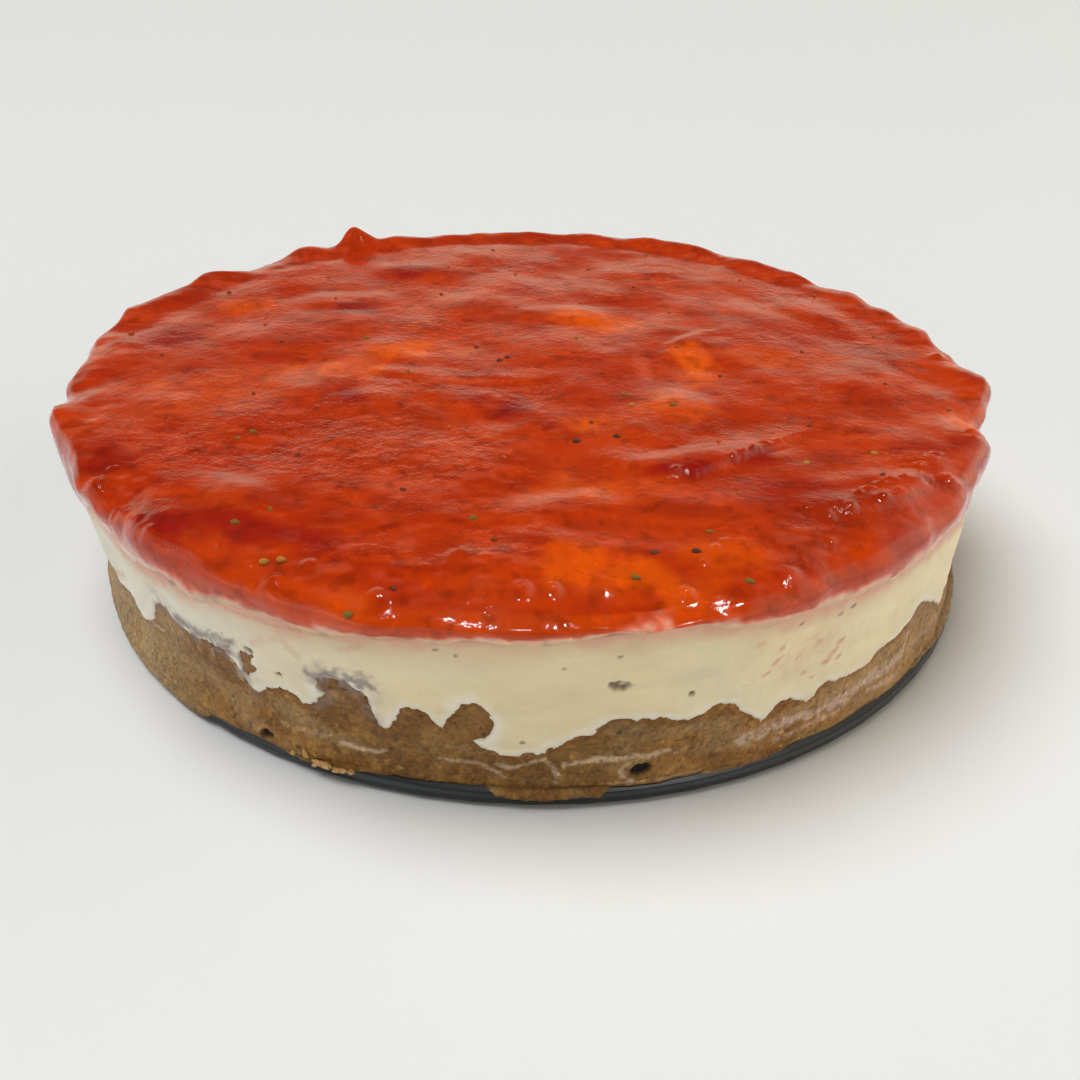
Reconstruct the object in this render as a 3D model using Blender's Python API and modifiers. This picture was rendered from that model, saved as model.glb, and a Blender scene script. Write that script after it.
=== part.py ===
"""A round strawberry cheesecake that stands on the loose base of its springform tin.

Four pieces lie on each other, from the table up: the pressed metal base, a crumb of crushed biscuit,
a set cream layer, and a strawberry topping with its seeds. The origin is on the table at the middle
of the tin base, +Z is up, and -Y faces the camera of the photograph. Angles are in degrees around +Z,
with 0 at +X, so 270 is the front.
"""

import math
import random

import bmesh
import bpy

MM = 0.001

# Pressed base of an 18 cm springform tin: a flat panel, a step up to a ledge, and a rolled edge
EDGE_RADIUS = 90.2 * MM
SHEET = 0.8 * MM
LEDGE_TOP = 3.2 * MM
STEP_FOOT_RADIUS = 83.0 * MM
STEP_HEAD_RADIUS = 84.4 * MM
ROLL_RADIUS = 1.5 * MM
TIN_SECTORS = 64

# Heights of the layers, and the free gap between two that touch
GAP = 0.4 * MM
CRUMB_LEVEL = 16.2 * MM
CREAM_LEVEL = 31.8 * MM
TOPPING_LEVEL = 38.4 * MM

# The set wall leans out a little, because the soft cream has sunk since the ring came off
WALL_FOOT_RADIUS = 88.0 * MM
WALL_HEAD_RADIUS = 90.4 * MM
WALL_HEAD_HEIGHT = 32.0 * MM
LAYER_SECTORS = 180
# Sideways shift of the set cake for each unit of height
LEAN = -0.06

# How far in from the wall the ragged crumb edge and the soft cream edge fade into the flat middle
RAGGED_DEPTH = 4.0 * MM
RAGGED_FADE = 13.0 * MM
CREAM_EDGE = 6.0 * MM

# Where the crumb edge departs from its level: (angle, half width in degrees, rise in mm)
CRUMB_KNOBS = (
    (226.0, 2.6, 4.2),
    (231.0, 4.5, 2.0),
    (236.5, 3.6, 3.0),
    (241.6, 3.4, 4.4),
    (251.5, 4.2, 5.0),
    (259.0, 2.6, 1.4),
    (265.2, 3.2, 4.0),
    (279.8, 4.4, 1.4),
    (289.6, 3.0, 1.6),
    (317.6, 3.6, 3.4),
)
CREAM_TONGUES = (
    (221.2, 2.8, -3.4),
    (245.6, 3.0, -0.6),
    (256.4, 2.6, -5.2),
    (261.8, 2.4, -2.4),
    (268.6, 3.8, -5.8),
    (273.4, 5.5, -4.6),
    (294.0, 3.2, -5.8),
    (299.6, 2.6, -3.6),
    (306.0, 8.0, -3.4),
    (328.0, 5.5, -5.0),
)
# The side that the photograph hides goes on by the same kind of steps
HIDDEN_FROM, HIDDEN_TO = 337.0, 574.0
HIDDEN_STEP = (5.0, 10.0)
HIDDEN_RISE = (1.0, 5.0)
HIDDEN_SEED = 7

# Soft waves, as (waves per turn, height in mm, phase in radians)
CREAM_WAVES = ((3, 0.50, 0.2), (8, 0.30, 0.4), (19, 0.20, 1.9))
TOP_EDGE_WAVES = ((4, 0.35, 0.9), (11, 0.40, 2.6), (27, 0.30, 0.3), (43, 0.20, 4.0))
WALL_WAVES = ((9, 0.18, 1.0), (31, 0.16, 0.2))

# Where the topping hangs lower over the cream, or stops higher: (angle, half width in degrees, rise in mm)
TOPPING_HEMS = ((206.5, 9.0, -8.0), (224.5, 9.0, -2.8), (296.0, 27.0, 1.5), (330.0, 7.0, -1.2))
HEM_BULGE = 0.04

# The topping: its edge, and lumps of fruit in it
TOP_EDGE_RADIUS = 91.4 * MM
SHOULDER = 7.0 * MM
SHOULDER_DROP = 1.3 * MM
TOP_CELLS = 40
# Fruit at the edge: (angle, half width in degrees, rise in mm, reach in mm). The first lifts the back.
EDGE_LUMPS = (
    (92.0, 92.0, 1.5, 0.6),
    (355.5, 6.5, 2.4, 4.2),
    (345.0, 4.5, -1.4, -1.4),
    (338.0, 6.5, 1.0, 1.2),
    (322.0, 6.0, -0.8, -0.4),
    (5.0, 5.0, 0.8, 1.0),
    (13.0, 6.0, 1.6, 2.2),
    (21.0, 4.5, 1.8, 0.8),
    (30.5, 6.0, 1.2, 0.6),
    (41.0, 6.0, 1.8, 0.6),
    (49.5, 5.5, 2.0, 0.8),
    (60.5, 8.0, 2.4, 0.8),
    (68.5, 6.0, 2.2, 0.8),
    (78.0, 9.0, 0.8, 0.5),
    (91.0, 7.0, 1.3, 0.4),
    (101.0, 9.0, 0.8, 0.4),
    (114.5, 6.0, 1.6, 0.3),
    (121.0, 3.6, 6.6, 1.0),
    (132.0, 5.0, 1.6, 0.4),
    (139.0, 4.5, -0.4, -0.4),
    (149.0, 6.5, 3.2, 2.6),
    (157.5, 5.0, 1.8, 2.0),
    (166.0, 8.0, 2.0, 3.0),
    (175.0, 6.5, 0.8, 2.6),
    (193.0, 5.0, -0.4, -1.2),
    (199.5, 5.5, 3.0, 1.8),
    (209.0, 6.0, 1.0, 0.4),
    (222.5, 4.0, -3.0, -1.6),
    (233.0, 6.5, 1.2, 0.8),
    (251.0, 6.0, 0.7, 0.6),
    (291.0, 5.5, 0.6, 0.5),
    (311.0, 6.5, 0.9, 0.4),
)
# Fruit under the surface, in mm and degrees: (x, y, half length, half width, turn, rise)
FRUIT = (
    (-31.0, -23.0, 11.0, 7.0, 20.0, 0.9),
    (-8.0, -22.0, 13.0, 8.5, -25.0, 1.5),
    (-44.0, 34.0, 15.0, 8.0, 10.0, 1.3),
    (-30.0, 58.0, 12.0, 8.0, -10.0, 0.9),
    (-60.0, 57.0, 12.0, 9.0, 40.0, 1.2),
    (33.0, -44.0, 19.0, 6.0, 14.0, 1.6),
    (56.0, -54.0, 15.0, 8.0, 18.0, 1.3),
    (38.0, 6.0, 15.0, 11.0, -15.0, 1.4),
    (31.0, -22.0, 9.0, 8.0, 60.0, 0.9),
    (12.0, 28.0, 17.0, 8.0, 5.0, 1.2),
    (-24.0, 4.0, 14.0, 10.0, -30.0, 1.0),
    (8.0, -62.0, 16.0, 8.0, 8.0, 0.9),
    (-48.0, -60.0, 15.0, 8.0, -35.0, 1.2),
    (-66.0, -20.0, 14.0, 9.0, 70.0, 0.9),
    (70.0, -8.0, 13.0, 8.0, 80.0, 1.0),
    (66.0, 34.0, 14.0, 8.0, -50.0, 1.1),
    (30.0, 60.0, 16.0, 8.0, 10.0, 0.9),
    (-4.0, -80.0, 13.0, 7.0, 0.0, 0.8),
)
# Low swell of the spread topping: (waves per metre along x, along y, height in mm, phase in radians)
SWELL = (
    (21.0, 9.0, 0.28, 0.4),
    (-13.0, 26.0, 0.26, 1.7),
    (38.0, -22.0, 0.20, 3.1),
    (17.0, 51.0, 0.17, 5.0),
    (-58.0, 30.0, 0.13, 2.3),
    (71.0, 44.0, 0.11, 0.9),
)

# Strawberry seeds, half sunk, on a sunflower spiral that is shaken so that it doesn't show
SEED_COUNT = 52
SEED_LENGTH = 1.7 * MM
SEED_WIDTH = 1.15 * MM
SEED_SINK = 0.15 * MM
SEED_FIELD_RADIUS = 85.0 * MM
SEED_SHAKE = 5.0 * MM
SEED_DRAW = 21
GOLDEN_ANGLE = math.pi * (3.0 - math.sqrt(5.0))

CRAG = 0.45 * MM
CRAG_DRAW = 3


def blend(share):
    """Smooth step from 0 to 1."""
    share = min(max(share, 0.0), 1.0)
    return share * share * (3.0 - 2.0 * share)


def hump(angle, centre, half_width):
    """1 at the centre angle, falling smoothly to 0 at half_width degrees to each side."""
    away = abs((angle - centre + 180.0) % 360.0 - 180.0) / half_width
    return 0.5 + 0.5 * math.cos(math.pi * away) if away < 1.0 else 0.0


def wave_sum(angle, waves):
    """Waves that close on themselves after a turn, in metres."""
    turn = math.radians(angle)
    return MM * sum(height * math.sin(count * turn + phase) for count, height, phase in waves)


def hidden_steps():
    """The crumb's knobs and tongues on the side away from the camera."""
    draw = random.Random(HIDDEN_SEED)
    steps = []
    angle, sign = HIDDEN_FROM, 1.0
    while angle < HIDDEN_TO:
        step = draw.uniform(*HIDDEN_STEP)
        steps.append((angle % 360.0, 0.6 * step, sign * draw.uniform(*HIDDEN_RISE)))
        angle += step
        sign = -sign
    return tuple(steps)


CRUMB_STEPS = CRUMB_KNOBS + CREAM_TONGUES + hidden_steps()


def crumb_line(angle):
    """Height at which the crumb meets the cream on the wall."""
    return CRUMB_LEVEL + MM * sum(rise * hump(angle, at, half) for at, half, rise in CRUMB_STEPS)


def topping_hem(angle):
    return MM * sum(rise * hump(angle, at, half) for at, half, rise in TOPPING_HEMS)


def cream_line(angle):
    """Height at which the cream meets the topping on the wall."""
    return CREAM_LEVEL - 0.5 * MM + wave_sum(angle, CREAM_WAVES) + topping_hem(angle)


def wall_radius(height, angle):
    share = min(max(height / WALL_HEAD_HEIGHT, 0.0), 1.0)
    lean = WALL_FOOT_RADIUS + share * (WALL_HEAD_RADIUS - WALL_FOOT_RADIUS)
    return lean + wave_sum(angle, WALL_WAVES)


def edge_lump(angle, rise_or_reach):
    """Sum of the fruit at the edge: column 2 is the rise, column 3 the reach."""
    return MM * sum(lump[rise_or_reach] * hump(angle, lump[0], lump[1]) for lump in EDGE_LUMPS)


def top_edge(angle):
    """Radius of the topping's upper edge."""
    return TOP_EDGE_RADIUS + wave_sum(angle, TOP_EDGE_WAVES) + edge_lump(angle, 3)


def fruit_rise(x, y):
    """How far the fruit under the surface lifts it at (x, y)."""
    rise = 0.0
    for at_x, at_y, half_length, half_width, turn, height in FRUIT:
        dx, dy = x / MM - at_x, y / MM - at_y
        cos, sin = math.cos(math.radians(turn)), math.sin(math.radians(turn))
        along = (dx * cos + dy * sin) / half_length
        across = (dy * cos - dx * sin) / half_width
        rise = max(rise, height * blend(1.3 * (1.0 - math.hypot(along, across))))
    return rise * MM


def swell(x, y):
    return MM * sum(h * math.sin(math.tau * (kx * x + ky * y) + ph) for kx, ky, h, ph in SWELL)


def topping_height(x, y):
    """Height of the topping's upper face."""
    angle = math.degrees(math.atan2(y, x)) % 360.0
    inward = top_edge(angle) - math.hypot(x, y)
    near_edge = blend(1.0 - inward / (2.6 * SHOULDER))
    shoulder = SHOULDER_DROP * max(0.0, 1.0 - inward / SHOULDER) ** 2
    lift = fruit_rise(x, y) + edge_lump(angle, 2) * near_edge
    return TOPPING_LEVEL + swell(x, y) + lift - shoulder


def clear_scene():
    for thing in list(bpy.data.objects):
        bpy.data.objects.remove(thing, do_unlink=True)


def new_collection(name):
    group = bpy.data.collections.new(name)
    bpy.context.scene.collection.children.link(group)
    return group


def plain_material(name, colour, roughness, metallic=0.0):
    finish = bpy.data.materials.new(name)
    finish.use_nodes = True
    shader = finish.node_tree.nodes["Principled BSDF"]
    shader.inputs["Base Color"].default_value = (*colour, 1.0)
    shader.inputs["Roughness"].default_value = roughness
    shader.inputs["Metallic"].default_value = metallic
    return finish


def add_object(name, mesh, group, finish):
    piece = bpy.data.objects.new(name, mesh)
    piece.data.materials.append(finish)
    group.objects.link(piece)
    return piece


def turned_mesh(name, profile, sectors):
    """A solid of revolution from (radius, height) points that run down its outer side."""
    outline = bpy.data.meshes.new(name + "_profile")
    points = [(radius, 0.0, height) for radius, height in profile]
    outline.from_pydata(points, [(i, i + 1) for i in range(len(points) - 1)], [])
    lathe = bpy.data.objects.new(name + "_profile", outline)
    bpy.context.scene.collection.objects.link(lathe)
    screw = lathe.modifiers.new("Turn", "SCREW")
    screw.steps = screw.render_steps = sectors
    screw.use_merge_vertices = True
    screw.merge_threshold = 0.01 * MM
    evaluated = lathe.evaluated_get(bpy.context.evaluated_depsgraph_get())
    mesh = bpy.data.meshes.new_from_object(evaluated)
    mesh.name = name
    bpy.data.objects.remove(lathe, do_unlink=True)
    return mesh


def reshape(mesh, rule):
    """Moves each vertex by a rule on its (radius, angle, height), then makes the faces triangles.

    The shorter diagonal is taken, so that two faces of one shape are split alike.
    """
    work = bmesh.new()
    work.from_mesh(mesh)
    bmesh.ops.remove_doubles(work, verts=work.verts, dist=0.01 * MM)
    for vertex in work.verts:
        radius = math.hypot(vertex.co.x, vertex.co.y)
        angle = math.degrees(math.atan2(vertex.co.y, vertex.co.x)) % 360.0
        radius, height = rule(radius, angle, vertex.co.z)
        turn = math.radians(angle)
        vertex.co = (radius * math.cos(turn), radius * math.sin(turn), height)
    bmesh.ops.triangulate(work, faces=work.faces, quad_method="SHORT_EDGE")
    bmesh.ops.recalc_face_normals(work, faces=work.faces)
    work.to_mesh(mesh)
    work.free()


def lean(mesh):
    """The soft cake has sunk to one side a little, more so the higher up."""
    for vertex in mesh.vertices:
        vertex.co.x += LEAN * vertex.co.z


def tin_base(group):
    ledge_under = LEDGE_TOP - SHEET

    def on_roll(radius, lift):
        turn = math.radians(lift)
        across = EDGE_RADIUS - ROLL_RADIUS + radius * math.cos(turn)
        return across, LEDGE_TOP - ROLL_RADIUS + radius * math.sin(turn)

    outside = [on_roll(ROLL_RADIUS, lift) for lift in (90.0, 45.0, 0.0, -45.0, -90.0)]
    inside = [on_roll(ROLL_RADIUS - SHEET, lift) for lift in (-90.0, 0.0, 90.0)]
    profile = [
        (0.0, SHEET),
        (STEP_FOOT_RADIUS - SHEET, SHEET),
        (STEP_HEAD_RADIUS - SHEET, LEDGE_TOP),
        *outside,
        *inside,
        (STEP_HEAD_RADIUS, ledge_under),
        (STEP_FOOT_RADIUS, 0.0),
        (0.0, 0.0),
    ]
    mesh = turned_mesh("tin_base", profile, TIN_SECTORS)
    reshape(mesh, lambda radius, angle, height: (radius, height))
    mesh.shade_smooth()
    mesh.set_sharp_from_angle(angle=math.radians(30.0))
    finish = plain_material("tinned_steel", (0.10, 0.13, 0.16), 0.35, 0.9)
    return add_object("tin_base", mesh, group, finish)


def crumb_rule(draw):
    foot = LEDGE_TOP + GAP

    def rule(radius, angle, height):
        share = min(max((height - foot) / (CRUMB_LEVEL - foot), 0.0), 1.0)
        ragged = blend(1.0 - (WALL_FOOT_RADIUS - RAGGED_DEPTH - radius) / RAGGED_FADE)
        height += share * ragged * (crumb_line(angle) - CRUMB_LEVEL)
        if radius > WALL_FOOT_RADIUS - 0.1 * MM:
            radius = wall_radius(height, angle)
            if 0.0 < share < 1.0:
                radius += draw.uniform(-CRAG, CRAG)
                height += draw.uniform(-CRAG, CRAG)
        return radius, height

    return rule


def crumb_base(group):
    """The pressed biscuit crumb: it fills the tin's panel and stands on its ledge."""
    foot = LEDGE_TOP + GAP
    side_rows = (1.0, 0.66, 0.33, 0.0)
    profile = [
        (0.0, CRUMB_LEVEL),
        (WALL_FOOT_RADIUS - RAGGED_DEPTH - RAGGED_FADE, CRUMB_LEVEL),
        (WALL_FOOT_RADIUS - RAGGED_DEPTH, CRUMB_LEVEL),
        *[(WALL_FOOT_RADIUS, foot + row * (CRUMB_LEVEL - foot)) for row in side_rows],
        (STEP_HEAD_RADIUS - SHEET - GAP, foot),
        (STEP_FOOT_RADIUS - SHEET - 2.0 * GAP, SHEET + GAP),
        (0.0, SHEET + GAP),
    ]
    mesh = turned_mesh("crumb_base", profile, LAYER_SECTORS)
    reshape(mesh, crumb_rule(random.Random(CRAG_DRAW)))
    lean(mesh)
    finish = plain_material("biscuit_crumb", (0.32, 0.19, 0.08), 0.85)
    return add_object("crumb_base", mesh, group, finish)


def cream_rule(radius, angle, height):
    foot = CRUMB_LEVEL + GAP
    share = min(max((height - foot) / (CREAM_LEVEL - foot), 0.0), 1.0)
    ragged = blend(1.0 - (WALL_FOOT_RADIUS - RAGGED_DEPTH - radius) / RAGGED_FADE)
    edge = blend(1.0 - (WALL_FOOT_RADIUS - radius) / CREAM_EDGE)
    height += (1.0 - share) * ragged * (crumb_line(angle) - CRUMB_LEVEL)
    height += share * edge * (cream_line(angle) - CREAM_LEVEL)
    if radius > WALL_FOOT_RADIUS - 0.1 * MM:
        radius = wall_radius(height - GAP * (1.0 - share), angle)
    return radius, height


def cream(group):
    """The set cream, with tongues that ran down where the crumb left room at the ring."""
    foot = CRUMB_LEVEL + GAP
    side_rows = (1.0, 0.66, 0.33, 0.0)
    profile = [
        (0.0, CREAM_LEVEL),
        (WALL_FOOT_RADIUS - CREAM_EDGE, CREAM_LEVEL),
        *[(WALL_FOOT_RADIUS, foot + row * (CREAM_LEVEL - foot)) for row in side_rows],
        (WALL_FOOT_RADIUS - RAGGED_DEPTH, foot),
        (WALL_FOOT_RADIUS - RAGGED_DEPTH - RAGGED_FADE, foot),
        (0.0, foot),
    ]
    mesh = turned_mesh("cream", profile, LAYER_SECTORS)
    reshape(mesh, cream_rule)
    lean(mesh)
    mesh.shade_smooth()
    mesh.set_sharp_from_angle(angle=math.radians(40.0))
    finish = plain_material("set_cream", (0.80, 0.74, 0.58), 0.45)
    return add_object("cream", mesh, group, finish)


def round_grid(work):
    """Turns a square grid that reaches from -1 to 1 into a unit disc of even cells."""
    for vertex in work.verts:
        u, w = vertex.co.x, vertex.co.y
        if abs(u) >= abs(w):
            radius, turn = u, (math.pi / 4.0) * (w / u) if u else 0.0
        else:
            radius, turn = w, math.pi / 2.0 - (math.pi / 4.0) * (u / w)
        vertex.co = (radius * math.cos(turn), radius * math.sin(turn), 0.0)


def rim_rows(angle):
    """(radius, height) of the topping's side and underside at an angle, from the upper edge down."""
    edge = top_edge(angle)
    lump = max(edge_lump(angle, 3), 0.0)
    turn = math.radians(angle)
    upper = topping_height(edge * math.cos(turn), edge * math.sin(turn))
    foot = cream_line(angle) + GAP
    on_cream = wall_radius(foot, angle)
    bulge = HEM_BULGE * max(-topping_hem(angle), 0.0)
    return (
        (edge + 0.5 * MM + bulge, upper - 0.22 * (upper - foot)),
        (0.6 * edge + 0.4 * (on_cream + 1.2 * MM) + 0.3 * lump + bulge, upper - 0.62 * (upper - foot)),
        (on_cream + 0.6 * MM, foot),
        (WALL_FOOT_RADIUS - CREAM_EDGE, CREAM_LEVEL + GAP),
    )


def topping_mesh():
    """The upper face is a round grid, and its boundary goes down over the side and in underneath."""
    bpy.ops.mesh.primitive_grid_add(x_subdivisions=TOP_CELLS, y_subdivisions=TOP_CELLS, size=2.0)
    grid = bpy.context.object
    mesh = grid.data.copy()
    mesh.name = "topping"
    bpy.data.objects.remove(grid, do_unlink=True)
    work = bmesh.new()
    work.from_mesh(mesh)
    round_grid(work)
    rim = [edge for edge in work.edges if edge.is_boundary]
    angles = {}
    for vertex in work.verts:
        angle = math.degrees(math.atan2(vertex.co.y, vertex.co.x)) % 360.0
        radius = vertex.co.length * top_edge(angle)
        turn = math.radians(angle)
        x, y = radius * math.cos(turn), radius * math.sin(turn)
        vertex.co = (x, y, topping_height(x, y))
        angles[vertex] = angle
    for row in range(4):
        upper = {vertex for edge in rim for vertex in edge.verts}
        made = bmesh.ops.extrude_edge_only(work, edges=rim)["geom"]
        rim = [part for part in made if isinstance(part, bmesh.types.BMEdge) and part.is_boundary]
        for lower in {vertex for edge in rim for vertex in edge.verts}:
            above = next(e.other_vert(lower) for e in lower.link_edges if e.other_vert(lower) in upper)
            angles[lower] = angles[above]
            radius, height = rim_rows(angles[lower])[row]
            turn = math.radians(angles[lower])
            lower.co = (radius * math.cos(turn), radius * math.sin(turn), height)
    bmesh.ops.edgeloop_fill(work, edges=rim)
    bmesh.ops.triangulate(work, faces=work.faces, quad_method="SHORT_EDGE")
    bmesh.ops.recalc_face_normals(work, faces=work.faces)
    work.to_mesh(mesh)
    work.free()
    return mesh


def seed_places():
    """(x, y, turn) of each seed on the topping."""
    draw = random.Random(SEED_DRAW)
    places = []
    for count in range(SEED_COUNT):
        radius = SEED_FIELD_RADIUS * math.sqrt((count + 0.5) / SEED_COUNT)
        x = radius * math.cos(count * GOLDEN_ANGLE) + draw.uniform(-SEED_SHAKE, SEED_SHAKE)
        y = radius * math.sin(count * GOLDEN_ANGLE) + draw.uniform(-SEED_SHAKE, SEED_SHAKE)
        places.append((x, y, draw.uniform(0.0, math.pi)))
    return places


def add_seed(number, place, group, finish):
    """One seed: a small flattened ball, half sunk in the topping."""
    x, y, turn = place
    bpy.ops.mesh.primitive_ico_sphere_add(subdivisions=1, radius=0.5)
    ball = bpy.context.object
    mesh = ball.data.copy()
    bpy.data.objects.remove(ball, do_unlink=True)
    seed = add_object(f"seed_{number:02d}", mesh, group, finish)
    seed.location = (x, y, topping_height(x, y) - SEED_SINK)
    seed.rotation_euler = (0.0, 0.0, turn)
    seed.scale = (SEED_LENGTH, SEED_WIDTH, SEED_WIDTH)
    return seed


def fuse(target, group):
    """Joins a collection's objects to the target with one Boolean union, then removes them."""
    union = target.modifiers.new("Fuse", "BOOLEAN")
    union.operation = "UNION"
    union.operand_type = "COLLECTION"
    union.collection = group
    union.solver = "EXACT"
    bpy.context.view_layer.update()
    evaluated = target.evaluated_get(bpy.context.evaluated_depsgraph_get())
    fused = bpy.data.meshes.new_from_object(evaluated)
    target.modifiers.remove(union)
    target.data = fused
    for thing in list(group.objects):
        bpy.data.objects.remove(thing, do_unlink=True)
    bpy.data.collections.remove(group)


def topping(group):
    finish = plain_material("strawberry_jelly", (0.55, 0.06, 0.02), 0.15)
    piece = add_object("topping", topping_mesh(), group, finish)
    seeds = new_collection("Seeds")
    for number, place in enumerate(seed_places()):
        add_seed(number, place, seeds, finish)
    fuse(piece, seeds)
    lean(piece.data)
    return piece


def main():
    clear_scene()
    cake = new_collection("Cheesecake")
    tin_base(cake)
    crumb_base(cake)
    cream(cake)
    topping(cake)


main()
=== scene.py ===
# %% [markdown]
# # A strawberry cheesecake on the base of its tin
#
# A round cheesecake stands uncut on the loose metal base of its springform tin. From the table up it has
# a rolled tin edge, a layer of pressed biscuit crumb, a layer of set cream and a wet strawberry topping.
# The ring of the tin is gone, so the wall shows every layer, and tongues of cream run down into the
# ragged top of the crumb.
#
# The plain solids of the cake come packed from a CAD model. This notebook builds finer pieces in their
# place, gives them their colours, lights them and sets the camera.

# %% Tools
import math
import random

import bmesh
import bpy
import numpy as np
from mathutils import Matrix, Vector


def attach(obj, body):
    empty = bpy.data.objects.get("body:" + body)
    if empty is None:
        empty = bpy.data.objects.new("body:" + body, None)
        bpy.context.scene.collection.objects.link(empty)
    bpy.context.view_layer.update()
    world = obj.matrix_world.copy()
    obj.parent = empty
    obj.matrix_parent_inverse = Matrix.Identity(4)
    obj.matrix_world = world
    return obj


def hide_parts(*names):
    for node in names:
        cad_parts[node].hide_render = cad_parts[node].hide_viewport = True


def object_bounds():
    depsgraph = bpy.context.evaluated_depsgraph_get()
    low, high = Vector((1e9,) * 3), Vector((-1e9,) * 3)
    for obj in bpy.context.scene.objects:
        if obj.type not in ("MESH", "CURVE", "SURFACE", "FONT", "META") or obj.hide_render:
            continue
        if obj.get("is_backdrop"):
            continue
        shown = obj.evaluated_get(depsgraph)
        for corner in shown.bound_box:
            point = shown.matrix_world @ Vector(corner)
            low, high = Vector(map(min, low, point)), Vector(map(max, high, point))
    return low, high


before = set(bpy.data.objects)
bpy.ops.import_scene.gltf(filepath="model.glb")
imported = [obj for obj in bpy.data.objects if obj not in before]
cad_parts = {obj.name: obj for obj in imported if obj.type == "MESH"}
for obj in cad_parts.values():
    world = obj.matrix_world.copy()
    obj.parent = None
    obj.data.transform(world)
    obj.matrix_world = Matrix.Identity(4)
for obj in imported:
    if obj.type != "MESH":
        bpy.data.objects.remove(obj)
scene = bpy.context.scene
cad_low, cad_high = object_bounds()
print("box of the solids, low corner:", [round(value, 4) for value in cad_low])
print("box of the solids, high corner:", [round(value, 4) for value in cad_high])

# %% [markdown]
# ## Measurements of the cake
#
# The finer pieces keep the form of the solids, so they are drawn with the same measurements. Angles round
# the cake are in degrees: 270 is the front, 180 the left side, 0 the right side and 90 the back. Lists
# give their heights in millimetres because such small numbers are easier to read.

# %% Sizes
MM = 0.001

# the tin base: a rolled edge round a raised ledge
EDGE_RADIUS = 90.2 * MM
LEDGE_TOP = 3.2 * MM
ROLL_RADIUS = 1.5 * MM

# the levels at which one layer ends and the next begins
GAP = 0.4 * MM
CRUMB_LEVEL = 16.2 * MM
CREAM_LEVEL = 31.8 * MM
TOPPING_LEVEL = 38.4 * MM

# the wall leans outward a little towards the top, and the whole cake leans to its left
WALL_FOOT_RADIUS = 88.0 * MM
WALL_HEAD_RADIUS = 90.4 * MM
WALL_HEAD_HEIGHT = 32.0 * MM
WALL_WAVES = ((9, 0.18, 1.0), (31, 0.16, 0.2))
LEAN = -0.06

# where the layers' hidden inner surfaces begin
INNER_RADIUS = WALL_FOOT_RADIUS - 6.0 * MM

# how much wall one degree spans, used to turn degrees into millimetres
ARC = 1.55

print("the cake is about %.0f mm wide and %.0f mm high" % (2.0 * WALL_HEAD_RADIUS / MM, TOPPING_LEVEL / MM))

# %% [markdown]
# Everything on the cake runs round it, so most shapes are sums of simple ones along an angle: waves that
# repeat, and humps that stand in one place. A `profile` goes straight from one measured value to the next.

# %% Round the cake


def blend(share):
    """A soft step from 0 to 1."""
    share = np.clip(share, 0.0, 1.0)
    return share * share * (3.0 - 2.0 * share)


def turned_from(start, angle):
    """The same angles, counted from a start to one full turn beyond it."""
    return start + (np.asarray(angle) - start) % 360.0


def profile(angle, pairs):
    """A value that changes round the cake, from pairs of an angle and a value that begin at any angle."""
    turned = turned_from(pairs[0][0], angle)
    return np.interp(turned, [pair[0] for pair in pairs], [pair[1] for pair in pairs])


def hump(angle, centre, half_width):
    """A soft hump of height 1 round one angle, and 0 away from it."""
    away = np.abs((angle - centre + 180.0) % 360.0 - 180.0) / half_width
    return np.where(away < 1.0, 0.5 + 0.5 * np.cos(math.pi * np.minimum(away, 1.0)), 0.0)


def wave_sum(angle, waves):
    """Gentle waves round the cake; each has a count, a height in millimetres and a start."""
    turn = np.radians(angle)
    return MM * sum(height * np.sin(count * turn + start) for count, height, start in waves)


def hump_sum(angle, humps):
    """Humps round the cake; each has an angle, a half width in degrees and a rise in millimetres."""
    return MM * sum(rise * hump(angle, centre, half_width) for centre, half_width, rise in humps)


def wall_radius(height, angle):
    """How far out the wall of the cake stands."""
    share = np.clip(height / WALL_HEAD_HEIGHT, 0.0, 1.0)
    return WALL_FOOT_RADIUS + share * (WALL_HEAD_RADIUS - WALL_FOOT_RADIUS) + wave_sum(angle, WALL_WAVES)


def on_wall(radius, angle, height):
    """Points from their radius, angle and height."""
    turn = np.radians(angle)
    radius, turn, height = np.broadcast_arrays(radius, turn, height)
    return np.stack([radius * np.cos(turn), radius * np.sin(turn), height], axis=-1)


print("the wall spans %.2f mm for each degree" % (math.radians(1.0) * WALL_FOOT_RADIUS / MM))

# %% [markdown]
# ## Noise
#
# Food has no flat surface. Two kinds of noise give it its unevenness. `cloud` is smooth and rolls up and
# down, like jelly or cream. `grains` splits space into small cells, like crumbs pressed together: it
# tells how far a point is from the middle of its crumb, and gives each crumb a number of its own for its
# colour. Both take a seed, which picks one pattern out of many, so the cake comes out the same each time.

# %% Noise
SHUFFLE = np.random.default_rng(5).permutation(2048)
CHANCE = np.random.default_rng(6).random(2048)


def lattice(cells, seed):
    """One number from 0 to 2047 for each cell of space."""
    first = SHUFFLE[(cells[..., 0] + seed * 131) % 2048]
    second = SHUFFLE[(first + cells[..., 1]) % 2048]
    return SHUFFLE[(second + cells[..., 2]) % 2048]


def cloud(points, size, seed):
    """Smooth noise between -1 and 1 whose bumps are about `size` across."""
    scaled = np.asarray(points) / size
    cell = np.floor(scaled).astype(np.int64)
    part = blend(scaled - cell)
    total = np.zeros(scaled.shape[:-1])
    for corner in range(8):
        step = np.array([corner & 1, corner >> 1 & 1, corner >> 2 & 1])
        weight = np.prod(np.where(step == 1, part, 1.0 - part), axis=-1)
        total += weight * CHANCE[lattice(cell + step, seed)]
    return total * 2.0 - 1.0


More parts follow.
